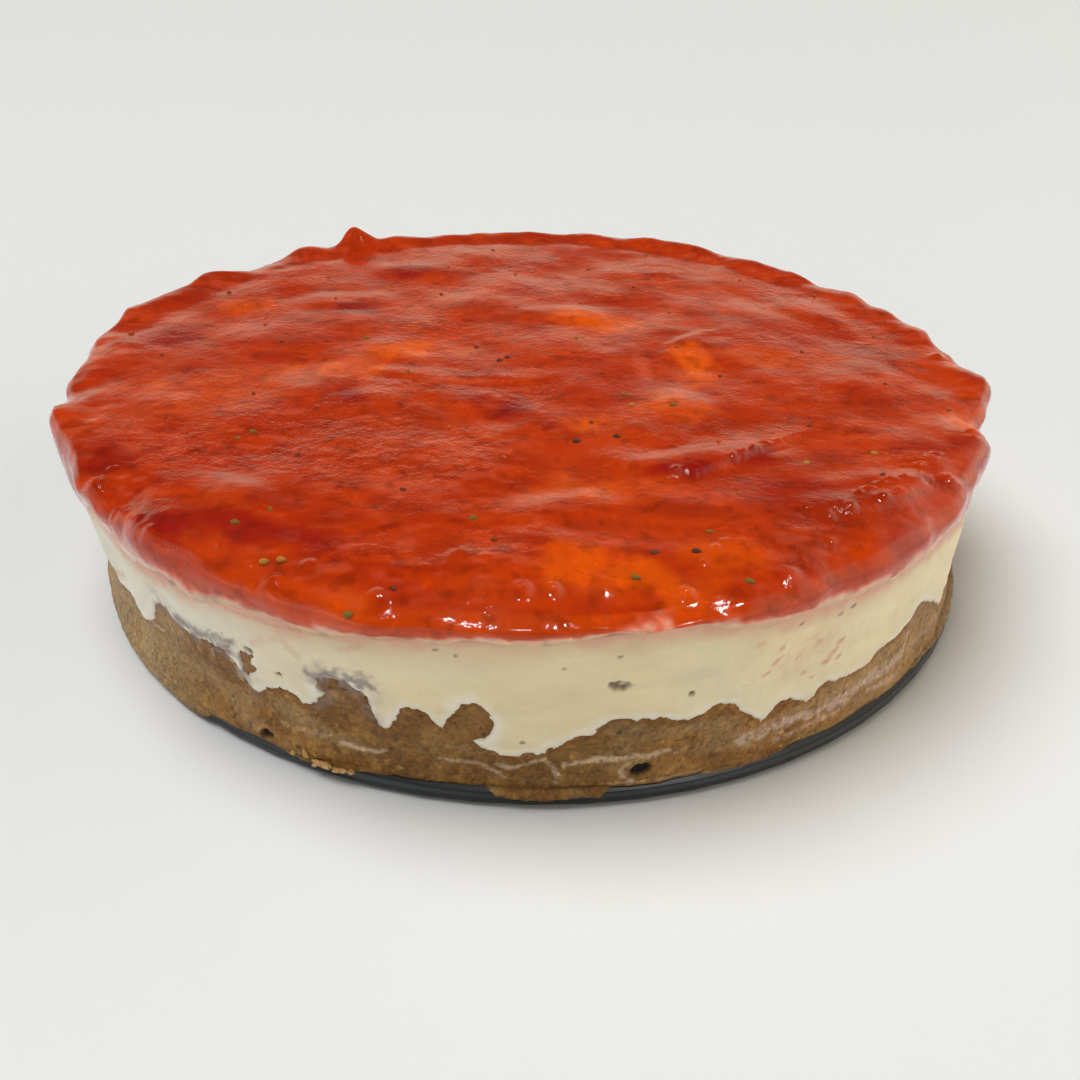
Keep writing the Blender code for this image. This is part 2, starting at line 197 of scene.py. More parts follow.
def grains(points, size, seed):
    """Distance from the middle of the nearest grain, near 1 at the grain's edge, and the grain's number."""
    scaled = np.asarray(points) / size
    cell = np.floor(scaled).astype(np.int64)
    nearest = np.full(scaled.shape[:-1], 9.0)
    number = np.zeros(scaled.shape[:-1])
    for step in np.ndindex(3, 3, 3):
        place = cell + np.array(step) - 1
        key = lattice(place, seed)
        middle = np.stack([CHANCE[key], CHANCE[(key + 677) % 2048], CHANCE[(key + 1399) % 2048]], axis=-1)
        distance = np.linalg.norm(place + middle - scaled, axis=-1)
        closer = distance < nearest
        nearest = np.where(closer, distance, nearest)
        number = np.where(closer, CHANCE[(key + 311) % 2048], number)
    return nearest, number


sample = cloud(np.random.default_rng(1).random((4000, 3)), 0.05, 3)
print("the cloud noise runs from %.2f to %.2f" % (sample.min(), sample.max()))

# %% [markdown]
# ## Building a piece
#
# Each layer is a stack of closed rings of points. The rings are joined by four-sided faces, and the first
# and the last ring are closed with a fan round a middle point, so every piece is a closed skin. Its
# colours are kept on its points, in a colour layer named `tint`, and its masks in layers of their own.

# %% Rings and skins


def ring_faces(rings, columns):
    """Four-sided faces between rings that lie one above the other."""
    here = np.arange(columns)
    after = (here + 1) % columns
    faces = []
    for ring in range(rings - 1):
        low = ring * columns
        high = low + columns
        faces.append(np.stack([low + here, low + after, high + after, high + here], axis=1))
    return np.concatenate(faces).tolist()


def fan_faces(ring, middle, upward):
    """Triangles from one ring to its middle point."""
    after = np.roll(ring, -1)
    if upward:
        return np.stack([ring, after, np.full_like(ring, middle)], axis=1).tolist()
    return np.stack([after, ring, np.full_like(ring, middle)], axis=1).tolist()


def closed_stack(rings):
    """Points and faces of a closed skin through rings that run from the bottom to the top."""
    count, columns = rings.shape[:2]
    points = rings.reshape(-1, 3)
    low_middle = rings[0].mean(axis=0)
    high_middle = rings[-1].mean(axis=0)
    faces = ring_faces(count, columns)
    faces += fan_faces(np.arange(columns), count * columns, False)
    faces += fan_faces(np.arange(columns) + (count - 1) * columns, count * columns + 1, True)
    return np.concatenate([points, [low_middle], [high_middle]]), faces


print("three rings of four points have", len(ring_faces(3, 4)), "faces between them")

# %% [markdown]
# The whole cake leans a little to its left, as a soft cake does. That is done last, once a piece is drawn
# upright, so that every other step can take the cake as round.

# %% Leaning and making


def lean_over(points):
    """The same points after the whole cake has leant over."""
    leant = np.array(points, dtype=float)
    leant[:, 0] += LEAN * leant[:, 2]
    return leant


def inside_box(points):
    """The same points, none of them outside the box of the solids."""
    return np.clip(points, np.array(cad_low), np.array(cad_high))


def make_piece(name, points, faces, material, tint=None, masks=None):
    """A mesh object with a colour and masks for each of its points."""
    mesh = bpy.data.meshes.new(name)
    mesh.from_pydata(np.asarray(points).tolist(), [], faces)
    mesh.shade_smooth()
    mesh.materials.append(material)
    if tint is not None:
        layer = mesh.color_attributes.new(name="tint", type="FLOAT_COLOR", domain="POINT")
        solid = np.concatenate([tint, np.ones((len(tint), 1))], axis=1)
        layer.data.foreach_set("color", solid.astype(np.float32).ravel())
    for mask, values in (masks or {}).items():
        layer = mesh.attributes.new(name=mask, type="FLOAT", domain="POINT")
        layer.data.foreach_set("value", np.asarray(values, dtype=np.float32))
    piece = bpy.data.objects.new(name, mesh)
    scene.collection.objects.link(piece)
    return piece


def triangles(piece):
    """How many triangles a piece has."""
    return sum(len(face.vertices) - 2 for face in piece.data.polygons)


print("names of the solids:", sorted(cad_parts))

# %% [markdown]
# ## Colours
#
# Colours are given as the eye reads them on a screen, from 0 to 255, and turned into the linear light
# that the renderer works with.

# %% Colours


def screen_colour(red, green, blue):
    """A colour as read on a screen, in linear light."""
    value = np.array([red, green, blue]) / 255.0
    return np.where(value <= 0.04045, value / 12.92, ((value + 0.055) / 1.055) ** 2.4)


BERRY_RED = screen_colour(177, 44, 3)
BERRY_ORANGE = screen_colour(203, 65, 2)
BERRY_BRIGHT = screen_colour(232, 90, 3)
BERRY_CRIMSON = screen_colour(142, 10, 8)
BERRY_DARK = screen_colour(150, 34, 2)
# pink of thin jelly over cream, also painted reflection in the haze patches and the fine streaks
PINK_JELLY_AND_HAZE = screen_colour(220, 100, 68)
THIN_JELLY = screen_colour(232, 184, 158)
CREAM = screen_colour(234, 222, 190)
CREAM_WARM = screen_colour(236, 216, 172)
CREAM_COOL = screen_colour(226, 222, 206)
CREAM_WHITE = screen_colour(244, 238, 222)
CREAM_BLUSH = screen_colour(222, 184, 148)
CREAM_PINK = screen_colour(228, 168, 144)
CREAM_GREY = screen_colour(146, 134, 128)
CRUMB = screen_colour(127, 86, 34)
CRUMB_GREY = screen_colour(156, 128, 88)
CRUMB_RICH = screen_colour(128, 74, 20)
CRUMB_DARK = screen_colour(76, 42, 12)
CRUMB_LIGHT = screen_colour(176, 132, 66)
SMEAR = screen_colour(222, 196, 166)
SMEAR_MAUVE = screen_colour(212, 184, 168)
FLAKE = screen_colour(206, 164, 108)
FOOT_SHADE_CRUMB = screen_colour(66, 54, 26)
PIT_SHADE_BLACK = screen_colour(8, 6, 6)


def mix(first, second, share):
    """Colours part of the way from the first to the second, point by point."""
    share = np.asarray(share)[..., None]
    return np.asarray(first) * (1.0 - share) + np.asarray(second) * share


def painted(tint, *coats):
    """A tint under coats of colour, one after another; each coat is a colour and how strongly it covers."""
    for colour, share in coats:
        tint = mix(tint, colour, share)
    return tint


print("cream in linear light:", CREAM.round(3))

# %% [markdown]
# ## Materials
#
# Three small node groups are used by more than one material. `Speckle` gives a fine mask of noise in the
# object's own space, `Shifted tint` makes a colour a little darker or lighter by such a mask, and `Fine
# relief` turns noise into a bump that is too small to be worth modelling.

# %% Node groups


def new_group(name, inputs, outputs):
    """An empty node group with named inputs and outputs."""
    group = bpy.data.node_groups.new(name, "ShaderNodeTree")
    for label, kind, value in inputs:
        socket = group.interface.new_socket(name=label, in_out="INPUT", socket_type=kind)
        if value is not None:
            socket.default_value = value
    for label, kind in outputs:
        group.interface.new_socket(name=label, in_out="OUTPUT", socket_type=kind)
    return group, group.nodes.new("NodeGroupInput"), group.nodes.new("NodeGroupOutput")


def join(tree, *joints):
    """Links between nodes; each joint is a node, its output, the next node and its input."""
    for giver, outlet, taker, inlet in joints:
        tree.links.new(giver.outputs[outlet], taker.inputs[inlet])


def maths_node(tree, operation):
    """A node that works out one sum."""
    node = tree.nodes.new("ShaderNodeMath")
    node.operation = operation
    return node


def speckle_group():
    """A mask of fine noise, sharpened between two limits."""
    group, given, result = new_group(
        "Speckle",
        (
            ("Scale", "NodeSocketFloat", 500.0),
            ("Detail", "NodeSocketFloat", 2.0),
            ("Low", "NodeSocketFloat", 0.35),
            ("High", "NodeSocketFloat", 0.65),
        ),
        (("Mask", "NodeSocketFloat"),),
    )
    place = group.nodes.new("ShaderNodeTexCoord")
    noise = group.nodes.new("ShaderNodeTexNoise")
    span = group.nodes.new("ShaderNodeMapRange")
    span.interpolation_type = "SMOOTHSTEP"
    join(
        group,
        (place, "Object", noise, "Vector"),
        (given, "Scale", noise, "Scale"),
        (given, "Detail", noise, "Detail"),
        (noise, "Fac", span, "Value"),
        (given, "Low", span, "From Min"),
        (given, "High", span, "From Max"),
        (span, "Result", result, "Mask"),
    )
    return group


SPECKLE = speckle_group()
speckle_sockets = SPECKLE.interface.items_tree
print("outputs of Speckle:", [socket.name for socket in speckle_sockets if socket.in_out == "OUTPUT"])

# %% Node group for the tint


def shifted_tint_group():
    """The piece's own colour, made darker by one mask and lighter by another."""
    group, given, result = new_group(
        "Shifted tint",
        (
            ("Dark mask", "NodeSocketFloat", 0.0),
            ("Dark", "NodeSocketFloat", 0.7),
            ("Light mask", "NodeSocketFloat", 0.0),
            ("Light", "NodeSocketFloat", 1.2),
        ),
        (("Color", "NodeSocketColor"),),
    )
    tint = group.nodes.new("ShaderNodeAttribute")
    tint.attribute_name = "tint"
    darker = group.nodes.new("ShaderNodeMapRange")
    lighter = group.nodes.new("ShaderNodeMapRange")
    factor = maths_node(group, "MULTIPLY")
    scaled = group.nodes.new("ShaderNodeVectorMath")
    scaled.operation = "SCALE"
    darker.inputs["To Min"].default_value = 1.0
    lighter.inputs["To Min"].default_value = 1.0
    join(
        group,
        (given, "Dark mask", darker, "Value"),
        (given, "Dark", darker, "To Max"),
        (given, "Light mask", lighter, "Value"),
        (given, "Light", lighter, "To Max"),
        (darker, "Result", factor, 0),
        (lighter, "Result", factor, 1),
        (tint, "Color", scaled, 0),
        (factor, "Value", scaled, "Scale"),
        (scaled, "Vector", result, "Color"),
    )
    return group


SHIFTED_TINT = shifted_tint_group()
print("sockets of Shifted tint:", len(SHIFTED_TINT.interface.items_tree))

# %% Node group for the relief


def fine_relief_group():
    """A bump made of noise of two sizes."""
    group, given, result = new_group(
        "Fine relief",
        (
            ("Scale", "NodeSocketFloat", 600.0),
            ("Second scale", "NodeSocketFloat", 1800.0),
            ("Second share", "NodeSocketFloat", 0.3),
            ("Depth", "NodeSocketFloat", 0.0001),
            ("Mask", "NodeSocketFloat", 1.0),
        ),
        (("Normal", "NodeSocketVector"),),
    )
    place = group.nodes.new("ShaderNodeTexCoord")
    first = group.nodes.new("ShaderNodeTexNoise")
    second = group.nodes.new("ShaderNodeTexNoise")
    both = maths_node(group, "MULTIPLY_ADD")
    masked = maths_node(group, "MULTIPLY")
    bump = group.nodes.new("ShaderNodeBump")
    join(
        group,
        (place, "Object", first, "Vector"),
        (place, "Object", second, "Vector"),
        (given, "Scale", first, "Scale"),
        (given, "Second scale", second, "Scale"),
        (second, "Fac", both, 0),
        (given, "Second share", both, 1),
        (first, "Fac", both, 2),
        (both, "Value", masked, 0),
        (given, "Mask", masked, 1),
        (masked, "Value", bump, "Height"),
        (given, "Depth", bump, "Distance"),
        (bump, "Normal", result, "Normal"),
    )
    return group


FINE_RELIEF = fine_relief_group()
print("node groups:", sorted(group.name for group in bpy.data.node_groups))

# %% [markdown]
# A material is one Principled shader, whose sockets are named in the call. The groups are placed in it with
# values of their own, so that crumb, cream and jelly share the same three effects and still look different.

# %% Making materials


def use_group(material, group, **values):
    """Puts a node group into a material and sets its inputs; an underscore stands for a space."""
    node = material.node_tree.nodes.new("ShaderNodeGroup")
    node.node_tree = group
    for label, value in values.items():
        node.inputs[label.replace("_", " ")].default_value = value
    return node


def new_material(name, **values):
    """A material with one Principled shader; an underscore stands for a space."""
    material = bpy.data.materials.new(name)
    material.use_nodes = True
    shader = material.node_tree.nodes["Principled BSDF"]
    for label, value in values.items():
        shader.inputs[label.replace("_", " ")].default_value = value
    return material, shader


print("plain materials that came with the solids:", len(bpy.data.materials))

# %% [markdown]
# The topping is jelly round soft fruit: smooth and wet, so its roughness is low, and a little light
# travels under its surface. The cream is matte with a faint sheen. The crumb is rough and dry. The seeds
# are dull. All four wear the colours of their own points. A fine relief lies over the whole, and on the
# topping it is strongest where a mask named `rippled` says so: there the wet skin breaks up the light and
# small drops of juice sparkle.

# %% Materials


def speckled_material(name, dark, light, relief, mask=None, **values):
    """A material in the piece's own colours with dark and light speckles and a fine relief."""
    material, shader = new_material(name, **values)
    dark_mask = use_group(material, SPECKLE, Scale=dark[0], Detail=3.0, Low=dark[1], High=dark[2])
    light_mask = use_group(material, SPECKLE, Scale=light[0], Detail=3.0, Low=light[1], High=light[2])
    colour = use_group(material, SHIFTED_TINT, Dark=dark[3], Light=light[3])
    scales = {"Scale": relief[0], "Second_scale": relief[1]}
    bump = use_group(material, FINE_RELIEF, **scales, Second_share=relief[2], Depth=relief[3])
    join(
        material.node_tree,
        (dark_mask, "Mask", colour, "Dark mask"),
        (light_mask, "Mask", colour, "Light mask"),
        (colour, "Color", shader, "Base Color"),
        (bump, "Normal", shader, "Normal"),
    )
    if mask is not None:
        layer = material.node_tree.nodes.new("ShaderNodeAttribute")
        layer.attribute_name = mask
        join(material.node_tree, (layer, "Fac", bump, "Mask"))
    return material


# dark and light speckles: scale, the two limits of their mask, strength
# relief: two scales, share of the second, depth in metres
TOPPING_LOOK = speckled_material(
    "strawberry_topping",
    dark=(330.0, 0.5, 0.72, 0.72),
    light=(520.0, 0.55, 0.75, 1.22),
    relief=(700.0, 1700.0, 0.45, 0.00018),
    mask="rippled",
    Roughness=0.09,
    IOR=1.4,
    Subsurface_Weight=0.2,
    Subsurface_Radius=(0.003, 0.0008, 0.0003),
    Subsurface_Scale=1.0,
)
CREAM_LOOK = speckled_material(
    "set_cream",
    dark=(300.0, 0.6, 0.8, 0.93),
    light=(160.0, 0.5, 0.8, 1.03),
    relief=(420.0, 1500.0, 0.35, 0.00026),
    Roughness=0.45,
    Subsurface_Weight=0.3,
    Subsurface_Radius=(0.003, 0.0022, 0.0014),
    Subsurface_Scale=1.0,
)
CRUMB_LOOK = speckled_material(
    "biscuit_crumb",
    dark=(1300.0, 0.5, 0.68, 0.6),
    light=(1000.0, 0.54, 0.7, 1.45),
    relief=(900.0, 2600.0, 0.5, 0.00035),
    Roughness=0.55,
    Specular_IOR_Level=0.3,
)
SEED_LOOK, seed_shader = new_material("strawberry_seed", Roughness=0.6)
seed_tint = use_group(SEED_LOOK, SHIFTED_TINT)
join(SEED_LOOK.node_tree, (seed_tint, "Color", seed_shader, "Base Color"))
print("materials:", sorted(material.name for material in bpy.data.materials))

# %% [markdown]
# ## The line between crumb and cream
#
# When the cream was poured, it ran into the gaps of the crumb against the ring of the tin. The line is
# drawn along the side that is seen: each pair gives an angle and a height in millimetres. It may
# turn back on itself, where a crumb hangs over the cream. Round the hidden side the line follows knobs
# and tongues like those of the solids.

# %% The ragged line
SEEN_LINE = (
    (214.5, 13.9), (216.6, 14.5), (218.4, 15.6), (219.8, 13.6), (220.6, 11.7), (221.7, 12.7),
    (223.4, 14.2), (224.6, 15.3), (225.4, 17.6), (226.4, 20.2), (227.5, 20.9), (229.2, 19.6),
    (231, 18.9), (234, 19.1), (236.6, 19.3), (238, 19), (238.7, 17.2), (239.4, 14.7), (240.5, 12.2),
    (241.3, 12.5), (242.3, 14), (244.1, 15.5), (245.4, 15.8), (246.3, 15.1), (247.1, 14.2), (248, 14.3),
    (248.8, 15.2), (249.4, 16.6), (249.9, 17.5), (249.3, 18.6), (249.5, 20.2), (250.8, 20.9),
    (252.4, 20.6), (253.6, 19.8), (254.7, 18.8), (254.6, 17), (254.8, 15), (255.3, 13.2), (255.9, 12.4),
    (256.6, 13.4), (257.2, 15.2), (257.8, 17.3), (258.6, 18.1), (259.6, 18), (260.4, 17.3),
    (260.9, 15.8), (261.4, 14.6), (261.8, 14.3), (262.4, 15.6), (262.8, 17.4), (263.4, 18.8),
    (264.3, 20), (265.1, 20.5), (265.9, 19.8), (266.5, 18.5), (266.8, 16.4), (266.5, 14), (265.8, 13),
    (264.7, 12.4), (265.2, 11.2), (266.2, 10.6), (267.2, 9.8), (268.4, 9.6), (269.6, 10.3),
    (271.5, 10.4), (272.3, 11.5), (273.6, 12.5), (274.8, 13.7), (276.5, 14.2), (277.3, 15.4),
    (277.9, 16.7), (278.8, 17.1), (280.6, 16.8), (283.7, 16.4), (284.5, 15.5), (286, 15), (287.9, 15.5),
    (288.5, 16.8), (289.4, 17.4), (290.3, 16.9), (291.4, 15.4), (292.4, 14), (293.2, 13), (293.8, 11.6),
    (294.5, 10.7), (295.4, 11.2), (296, 12.4), (297, 13.3), (298.2, 13.4), (299.4, 12.2), (300.6, 11.2),
    (301.6, 12), (302, 13.4), (303.2, 14.1), (304.8, 13.3), (306.8, 12.8), (309.4, 12.5), (310.6, 12.9),
    (311.2, 14.4), (313, 14.6), (315.2, 15.2), (317.2, 16.4), (318, 18.6), (319.8, 18.6), (322, 16.8),
    (324.6, 14.4), (326.6, 12.6), (328.4, 10.4), (330.4, 11.6), (332, 13.6), (333.6, 15.4),
)
print("measured points on the seen side:", len(SEEN_LINE))

# %% The line on the hidden side
HIDDEN_FROM = 337.0
HIDDEN_TO = 574.0
HIDDEN_STEP = (5.0, 10.0)
HIDDEN_RISE = (1.0, 5.0)
HIDDEN_SEED = 7
HIDDEN_SPACING = 0.8


def hidden_line():
    """The line round the hidden side: knobs and tongues in turn."""
    draw = random.Random(HIDDEN_SEED)
    angle = HIDDEN_FROM
    sign = 1.0
    steps = []
    while angle < HIDDEN_TO:
        step = draw.uniform(*HIDDEN_STEP)
        steps.append((angle % 360.0, 0.6 * step, sign * draw.uniform(*HIDDEN_RISE)))
        angle += step
        sign = -sign
    angles = np.arange(HIDDEN_FROM, HIDDEN_TO, HIDDEN_SPACING)
    heights = (CRUMB_LEVEL + hump_sum(angles, steps)) / MM
    return list(zip(angles.tolist(), heights.tolist()))


hidden = hidden_line()
LINE = np.array(list(SEEN_LINE) + hidden + [(SEEN_LINE[0][0] + 360.0, SEEN_LINE[0][1])])
LINE_START = SEEN_LINE[0][0]
print("points in the whole line:", len(LINE))

# %% [markdown]
# Each point of the wall needs to know on which side of the line it lies, and how far from it. A point lies
# above the line where the line passes under it an odd number of times, also where the line turns back on
# itself. The distance is the one to the nearest straight step of the line.

# %% Above or below the line
AT_ONCE = 8000


def above_line(angle, height):
    """Distance from the line in millimetres, positive above it, in the cream, and negative below it."""
    turned = turned_from(LINE_START, np.ravel(angle))
    place = np.stack([turned * ARC, np.ravel(height) / MM], axis=1)
    first = LINE[:-1] * (ARC, 1.0)
    second = LINE[1:] * (ARC, 1.0)
    result = np.empty(len(place))
    for start in range(0, len(place), AT_ONCE):
        some = place[start:start + AT_ONCE, None, :]
        along = second - first
        share = np.clip(((some - first) * along).sum(-1) / (along * along).sum(-1), 0.0, 1.0)
        distance = np.linalg.norm(some - first - share[..., None] * along, axis=-1).min(axis=1)
        spans = (first[:, 0] <= some[..., 0]) != (second[:, 0] <= some[..., 0])
        slope = np.where(np.abs(along[:, 0]) < 1e-9, 1e-9, along[:, 0])
        crossing = first[:, 1] + (some[..., 0] - first[:, 0]) / slope * along[:, 1]
        below = (spans & (crossing < some[..., 1])).sum(axis=1)
        result[start:start + AT_ONCE] = np.where(below % 2 == 1, distance, -distance)
    return result.reshape(np.shape(angle))


print("the line runs from %.1f mm to %.1f mm above the table" % (LINE[:, 1].min(), LINE[:, 1].max()))

# %% [markdown]
# Marks on the wall are written as spots: an angle, a height in millimetres, half a length and half a
# height in millimetres, and how far the spot is turned in degrees. The edge of a spot is broken up by
# noise, because a smear left by a knife never has a clean outline.

# %% Spots


def within(across, upward, half_length, half_width, turned):
    """1 in the middle of a turned ellipse, 0 on its outline, negative outside."""
    turn = math.radians(turned)
    lengthwise = (across * math.cos(turn) + upward * math.sin(turn)) / half_length
    sideways = (upward * math.cos(turn) - across * math.sin(turn)) / half_width
    return 1.0 - np.hypot(lengthwise, sideways)


def spots(angle, height, marks, seed, ragged=0.35, soft=0.5):
    """How strongly the marks cover each point, from 0 to 1."""
    cover = np.zeros(np.shape(angle))
    place = on_wall(wall_radius(height, angle), angle, height)
    shake = ragged * cloud(place, 1.6 * MM, seed) + 0.6 * ragged * cloud(place, 0.7 * MM, seed + 1)
    for centre, level, half_length, half_height, turned in marks:
        across = ((angle - centre + 180.0) % 360.0 - 180.0) * ARC
        inside = within(across, height / MM - level, half_length, half_height, turned) + shake
        cover = np.maximum(cover, blend(inside / soft))
    return cover


sample = within(np.array([0.0, 2.0]), np.zeros(2), 2.0, 1.0, 0.0)
print("an ellipse gives %.0f in its middle and %.0f on its outline" % tuple(sample))

# %% [markdown]
# Smears are drawn out, so each is written as a path of a few points with half a width round it.

# %% Strokes


def near_path(here, path, none_near=99.0):
    """Each point's distance from a path of straight steps, and on which side of it the point lies."""
    nearest = np.full(here.shape[:-1], none_near)
    side = np.zeros(here.shape[:-1])
    for first, second in zip(path[:-1], path[1:]):
        along = second - first
        share = np.clip(((here - first) @ along) / (along @ along), 0.0, 1.0)
        away = here - first - share[..., None] * along
        distance = np.linalg.norm(away, axis=-1)
        side = np.where(distance < nearest, along[0] * away[..., 1] - along[1] * away[..., 0], side)
        nearest = np.minimum(nearest, distance)
    return nearest, side


def strokes(angle, height, marks, seed, ragged=0.45, soft=0.9):
    """How strongly drawn-out smears cover each point; each has half a width, a strength and a path."""
    cover = np.zeros(np.shape(angle))
    place = on_wall(wall_radius(height, angle), angle, height)
    shake = ragged * cloud(place, 1.3 * MM, seed) + ragged * cloud(place, 0.6 * MM, seed + 1)
    here = np.stack([turned_from(180.0, angle), height / MM], axis=-1) * (ARC, 1.0)
    for half_width, strength, path in marks:
        nearest, side = near_path(here, np.array(path) * (ARC, 1.0))
        inside = 1.0 - nearest / (1.5 * half_width) + shake
        cover = np.maximum(cover, strength * blend(inside / soft))
    return cover


sample = near_path(np.array([[1.0, 2.0]]), np.array([[0.0, 0.0], [4.0, 0.0]]))[0]
print("a point 2 mm beside a path is found %.0f mm away" % float(sample[0]))

# %% Marks on both layers
# where the knife rubbed cream and crumb together along their border: angle, strength
RUBBED = ((225, 0), (229, 1), (239, 1), (242, 0), (247.5, 0), (250, 1), (254, 1), (256.5, 0))

# crumbs that show through the cream like islands
CRUMB_ISLANDS = ((240.8, 18.7, 3.1, 1.9, 62.0), (245.2, 19.2, 0.7, 0.4, 0.0))
# deep pits, dented into both layers: painted dark brown in the cream, and black as painted shade in the
# crumb
CREAM_PITS = ((241.5, 21.9, 1.4, 0.7, -20.0), (279.1, 24.1, 1.9, 1.1, 5.0), (286.2, 20.5, 0.6, 0.5, 0.0))
CRUMB_PITS = ((241.6, 4.8, 1.7, 0.9, 8.0), (281.3, 6.1, 2.0, 1.2, 10.0))

WALL_ANGLES = np.concatenate([np.arange(200.0, 345.0, 0.2), np.arange(345.0, 560.0, 0.5)])
print("the wall has %d columns of points" % len(WALL_ANGLES))

# %% [markdown]
# ## The biscuit crumb
#
# Crushed biscuit and butter are pressed into the tin by hand. The wall shows packed grains of one or two
# millimetres, some darker and some lighter, with small holes between them. Thousands of crumbs could be
# strewn and pressed together, but noise in cells gives the same packed wall with one light skin.
#
# The border with the cream could be cut out of both layers. Here both skins are whole instead: where the
# cream lies over it, the skin of the crumb dives inward, and the edge that is seen is where the skins meet.

# %% Relief of the crumb
CRUMB_FOOT = LEDGE_TOP + 0.05 * MM
CRUMB_HEAD = 22.6 * MM
CRUMB_ROWS = 54
GRAIN_DEPTH = 0.22 * MM
PIT_DEPTH = 0.9 * MM
CRUMB_DIVE = 1.2 * MM
# noise in a space pressed together sideways comes out drawn out along the wall
STRETCH = (0.35, 0.35, 1.0)


def ragged_field(angle, height):
    """Distance in millimetres from the line between crumb and cream, made ragged and with islands."""
    place = on_wall(wall_radius(height, angle), angle, height)
    field = above_line(angle, height)
    field = field + 0.34 * cloud(place, 1.4 * MM, 31) + 0.30 * cloud(place, 0.7 * MM, 32)
    island = spots(angle, height, CRUMB_ISLANDS, 33)
    return np.where(island > 0.0, np.minimum(field, 1.0 - 2.0 * island), field)


def crumb_relief(place):
    """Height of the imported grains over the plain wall."""
    coarse, number = grains(place, 1.9 * MM, 41)
    fine = grains(place, 0.9 * MM, 42)[0]
    dome = 0.9 - 1.4 * coarse + 0.7 * (number - 0.5)
    return GRAIN_DEPTH * (0.55 * dome + 0.35 * (0.5 - fine) + 0.5 * cloud(place, 4.5 * MM, 43))


print("the grains stand %.2f mm out of the wall" % (GRAIN_DEPTH / MM))

# %% Colour of the crumb


def crumb_colour(place, angle, height):
    """Brown grains, darker and lighter, and greyer towards both sides."""
    coarse, number = grains(place, 1.5 * MM, 44)
    fine, fine_number = grains(place, 0.7 * MM, 45)
    turned = turned_from(180.0, angle)
    dry_left = blend((236.0 - turned) / 16.0) * blend((turned - 180.0) / 16.0)
    dry_right = 0.5 * blend((turned - 298.0) / 14.0) * blend((350.0 - turned) / 14.0)
    colour = painted(
        CRUMB,
        (CRUMB_GREY, dry_left),
        (CRUMB_GREY, dry_right),
        (CRUMB_LIGHT, 0.5 * blend((number - 0.6) / 0.4)),
        (CRUMB_DARK, 0.45 * blend((0.3 - fine_number) / 0.2)),
        (CRUMB_DARK, 0.35 * blend((coarse - 0.66) / 0.3)),
        (CRUMB_LIGHT, 0.28 * blend(1.6 * cloud(place, 4.5 * MM, 41))),
        (CRUMB_GREY, 0.45 * blend(1.8 * cloud(place * STRETCH, 2.6 * MM, 42) - 0.1)),
    )
    flattened = place * (1.0, 1.0, 3.0)
    streak = 0.13 * cloud(flattened, 2.6 * MM, 47) + 0.12 * cloud(flattened, 1.1 * MM, 48)
    return colour * (1.0 + 0.12 * cloud(place, 8.0 * MM, 46) + streak)[..., None]


print("plain crumb in linear light:", CRUMB.round(3))

# %% [markdown]
# At its foot the crumb spreads over the tin's ledge, because it was pressed into the corner of the tin. The
# skin is then one grid of points: rows at even heights, columns at the angles of the wall. Each point moves
# in or out by all that was measured above.

# %% Skin of the crumb
# how far the foot of the crumb spreads over the tin's ledge: angle, millimetres
FLARE = ((180, 1.9), (232, 1.9), (246, 1.6), (252, 0.9), (280, 0.7), (330, 0.9), (360, 0.9), (540, 1.9))
FLARE_HEIGHT = 7.0 * MM


def crumb_flare(angle, height):
    """How far the crumb spreads outward at its foot."""
    return MM * profile(angle, FLARE) * blend(1.0 - (height - CRUMB_FOOT) / FLARE_HEIGHT)


crumb_heights = np.linspace(CRUMB_FOOT, CRUMB_HEAD, CRUMB_ROWS)
angle_grid, height_grid = np.meshgrid(WALL_ANGLES, crumb_heights)
crumb_field = ragged_field(angle_grid, height_grid)
crumb_place = on_wall(wall_radius(height_grid, angle_grid), angle_grid, height_grid)
crumb_pits = spots(angle_grid, height_grid, CRUMB_PITS, 51, soft=0.25)
crumb_out = wall_radius(height_grid, angle_grid) + crumb_relief(crumb_place)
crumb_out = crumb_out + crumb_flare(angle_grid, height_grid)
crumb_out = crumb_out - CRUMB_DIVE * blend((crumb_field - 0.05) / 0.9) - PIT_DEPTH * crumb_pits
crumb_wall = on_wall(crumb_out, angle_grid, height_grid)
crumb_bottom = on_wall(WALL_FOOT_RADIUS - 3.0 * MM, WALL_ANGLES, CRUMB_FOOT)
crumb_top = on_wall(INNER_RADIUS, WALL_ANGLES, CRUMB_LEVEL)
crumb_points, crumb_faces = closed_stack(np.concatenate([crumb_bottom[None], crumb_wall, crumb_top[None]]))

print("crumb skin: %d rows of %d points" % crumb_wall.shape[:2])
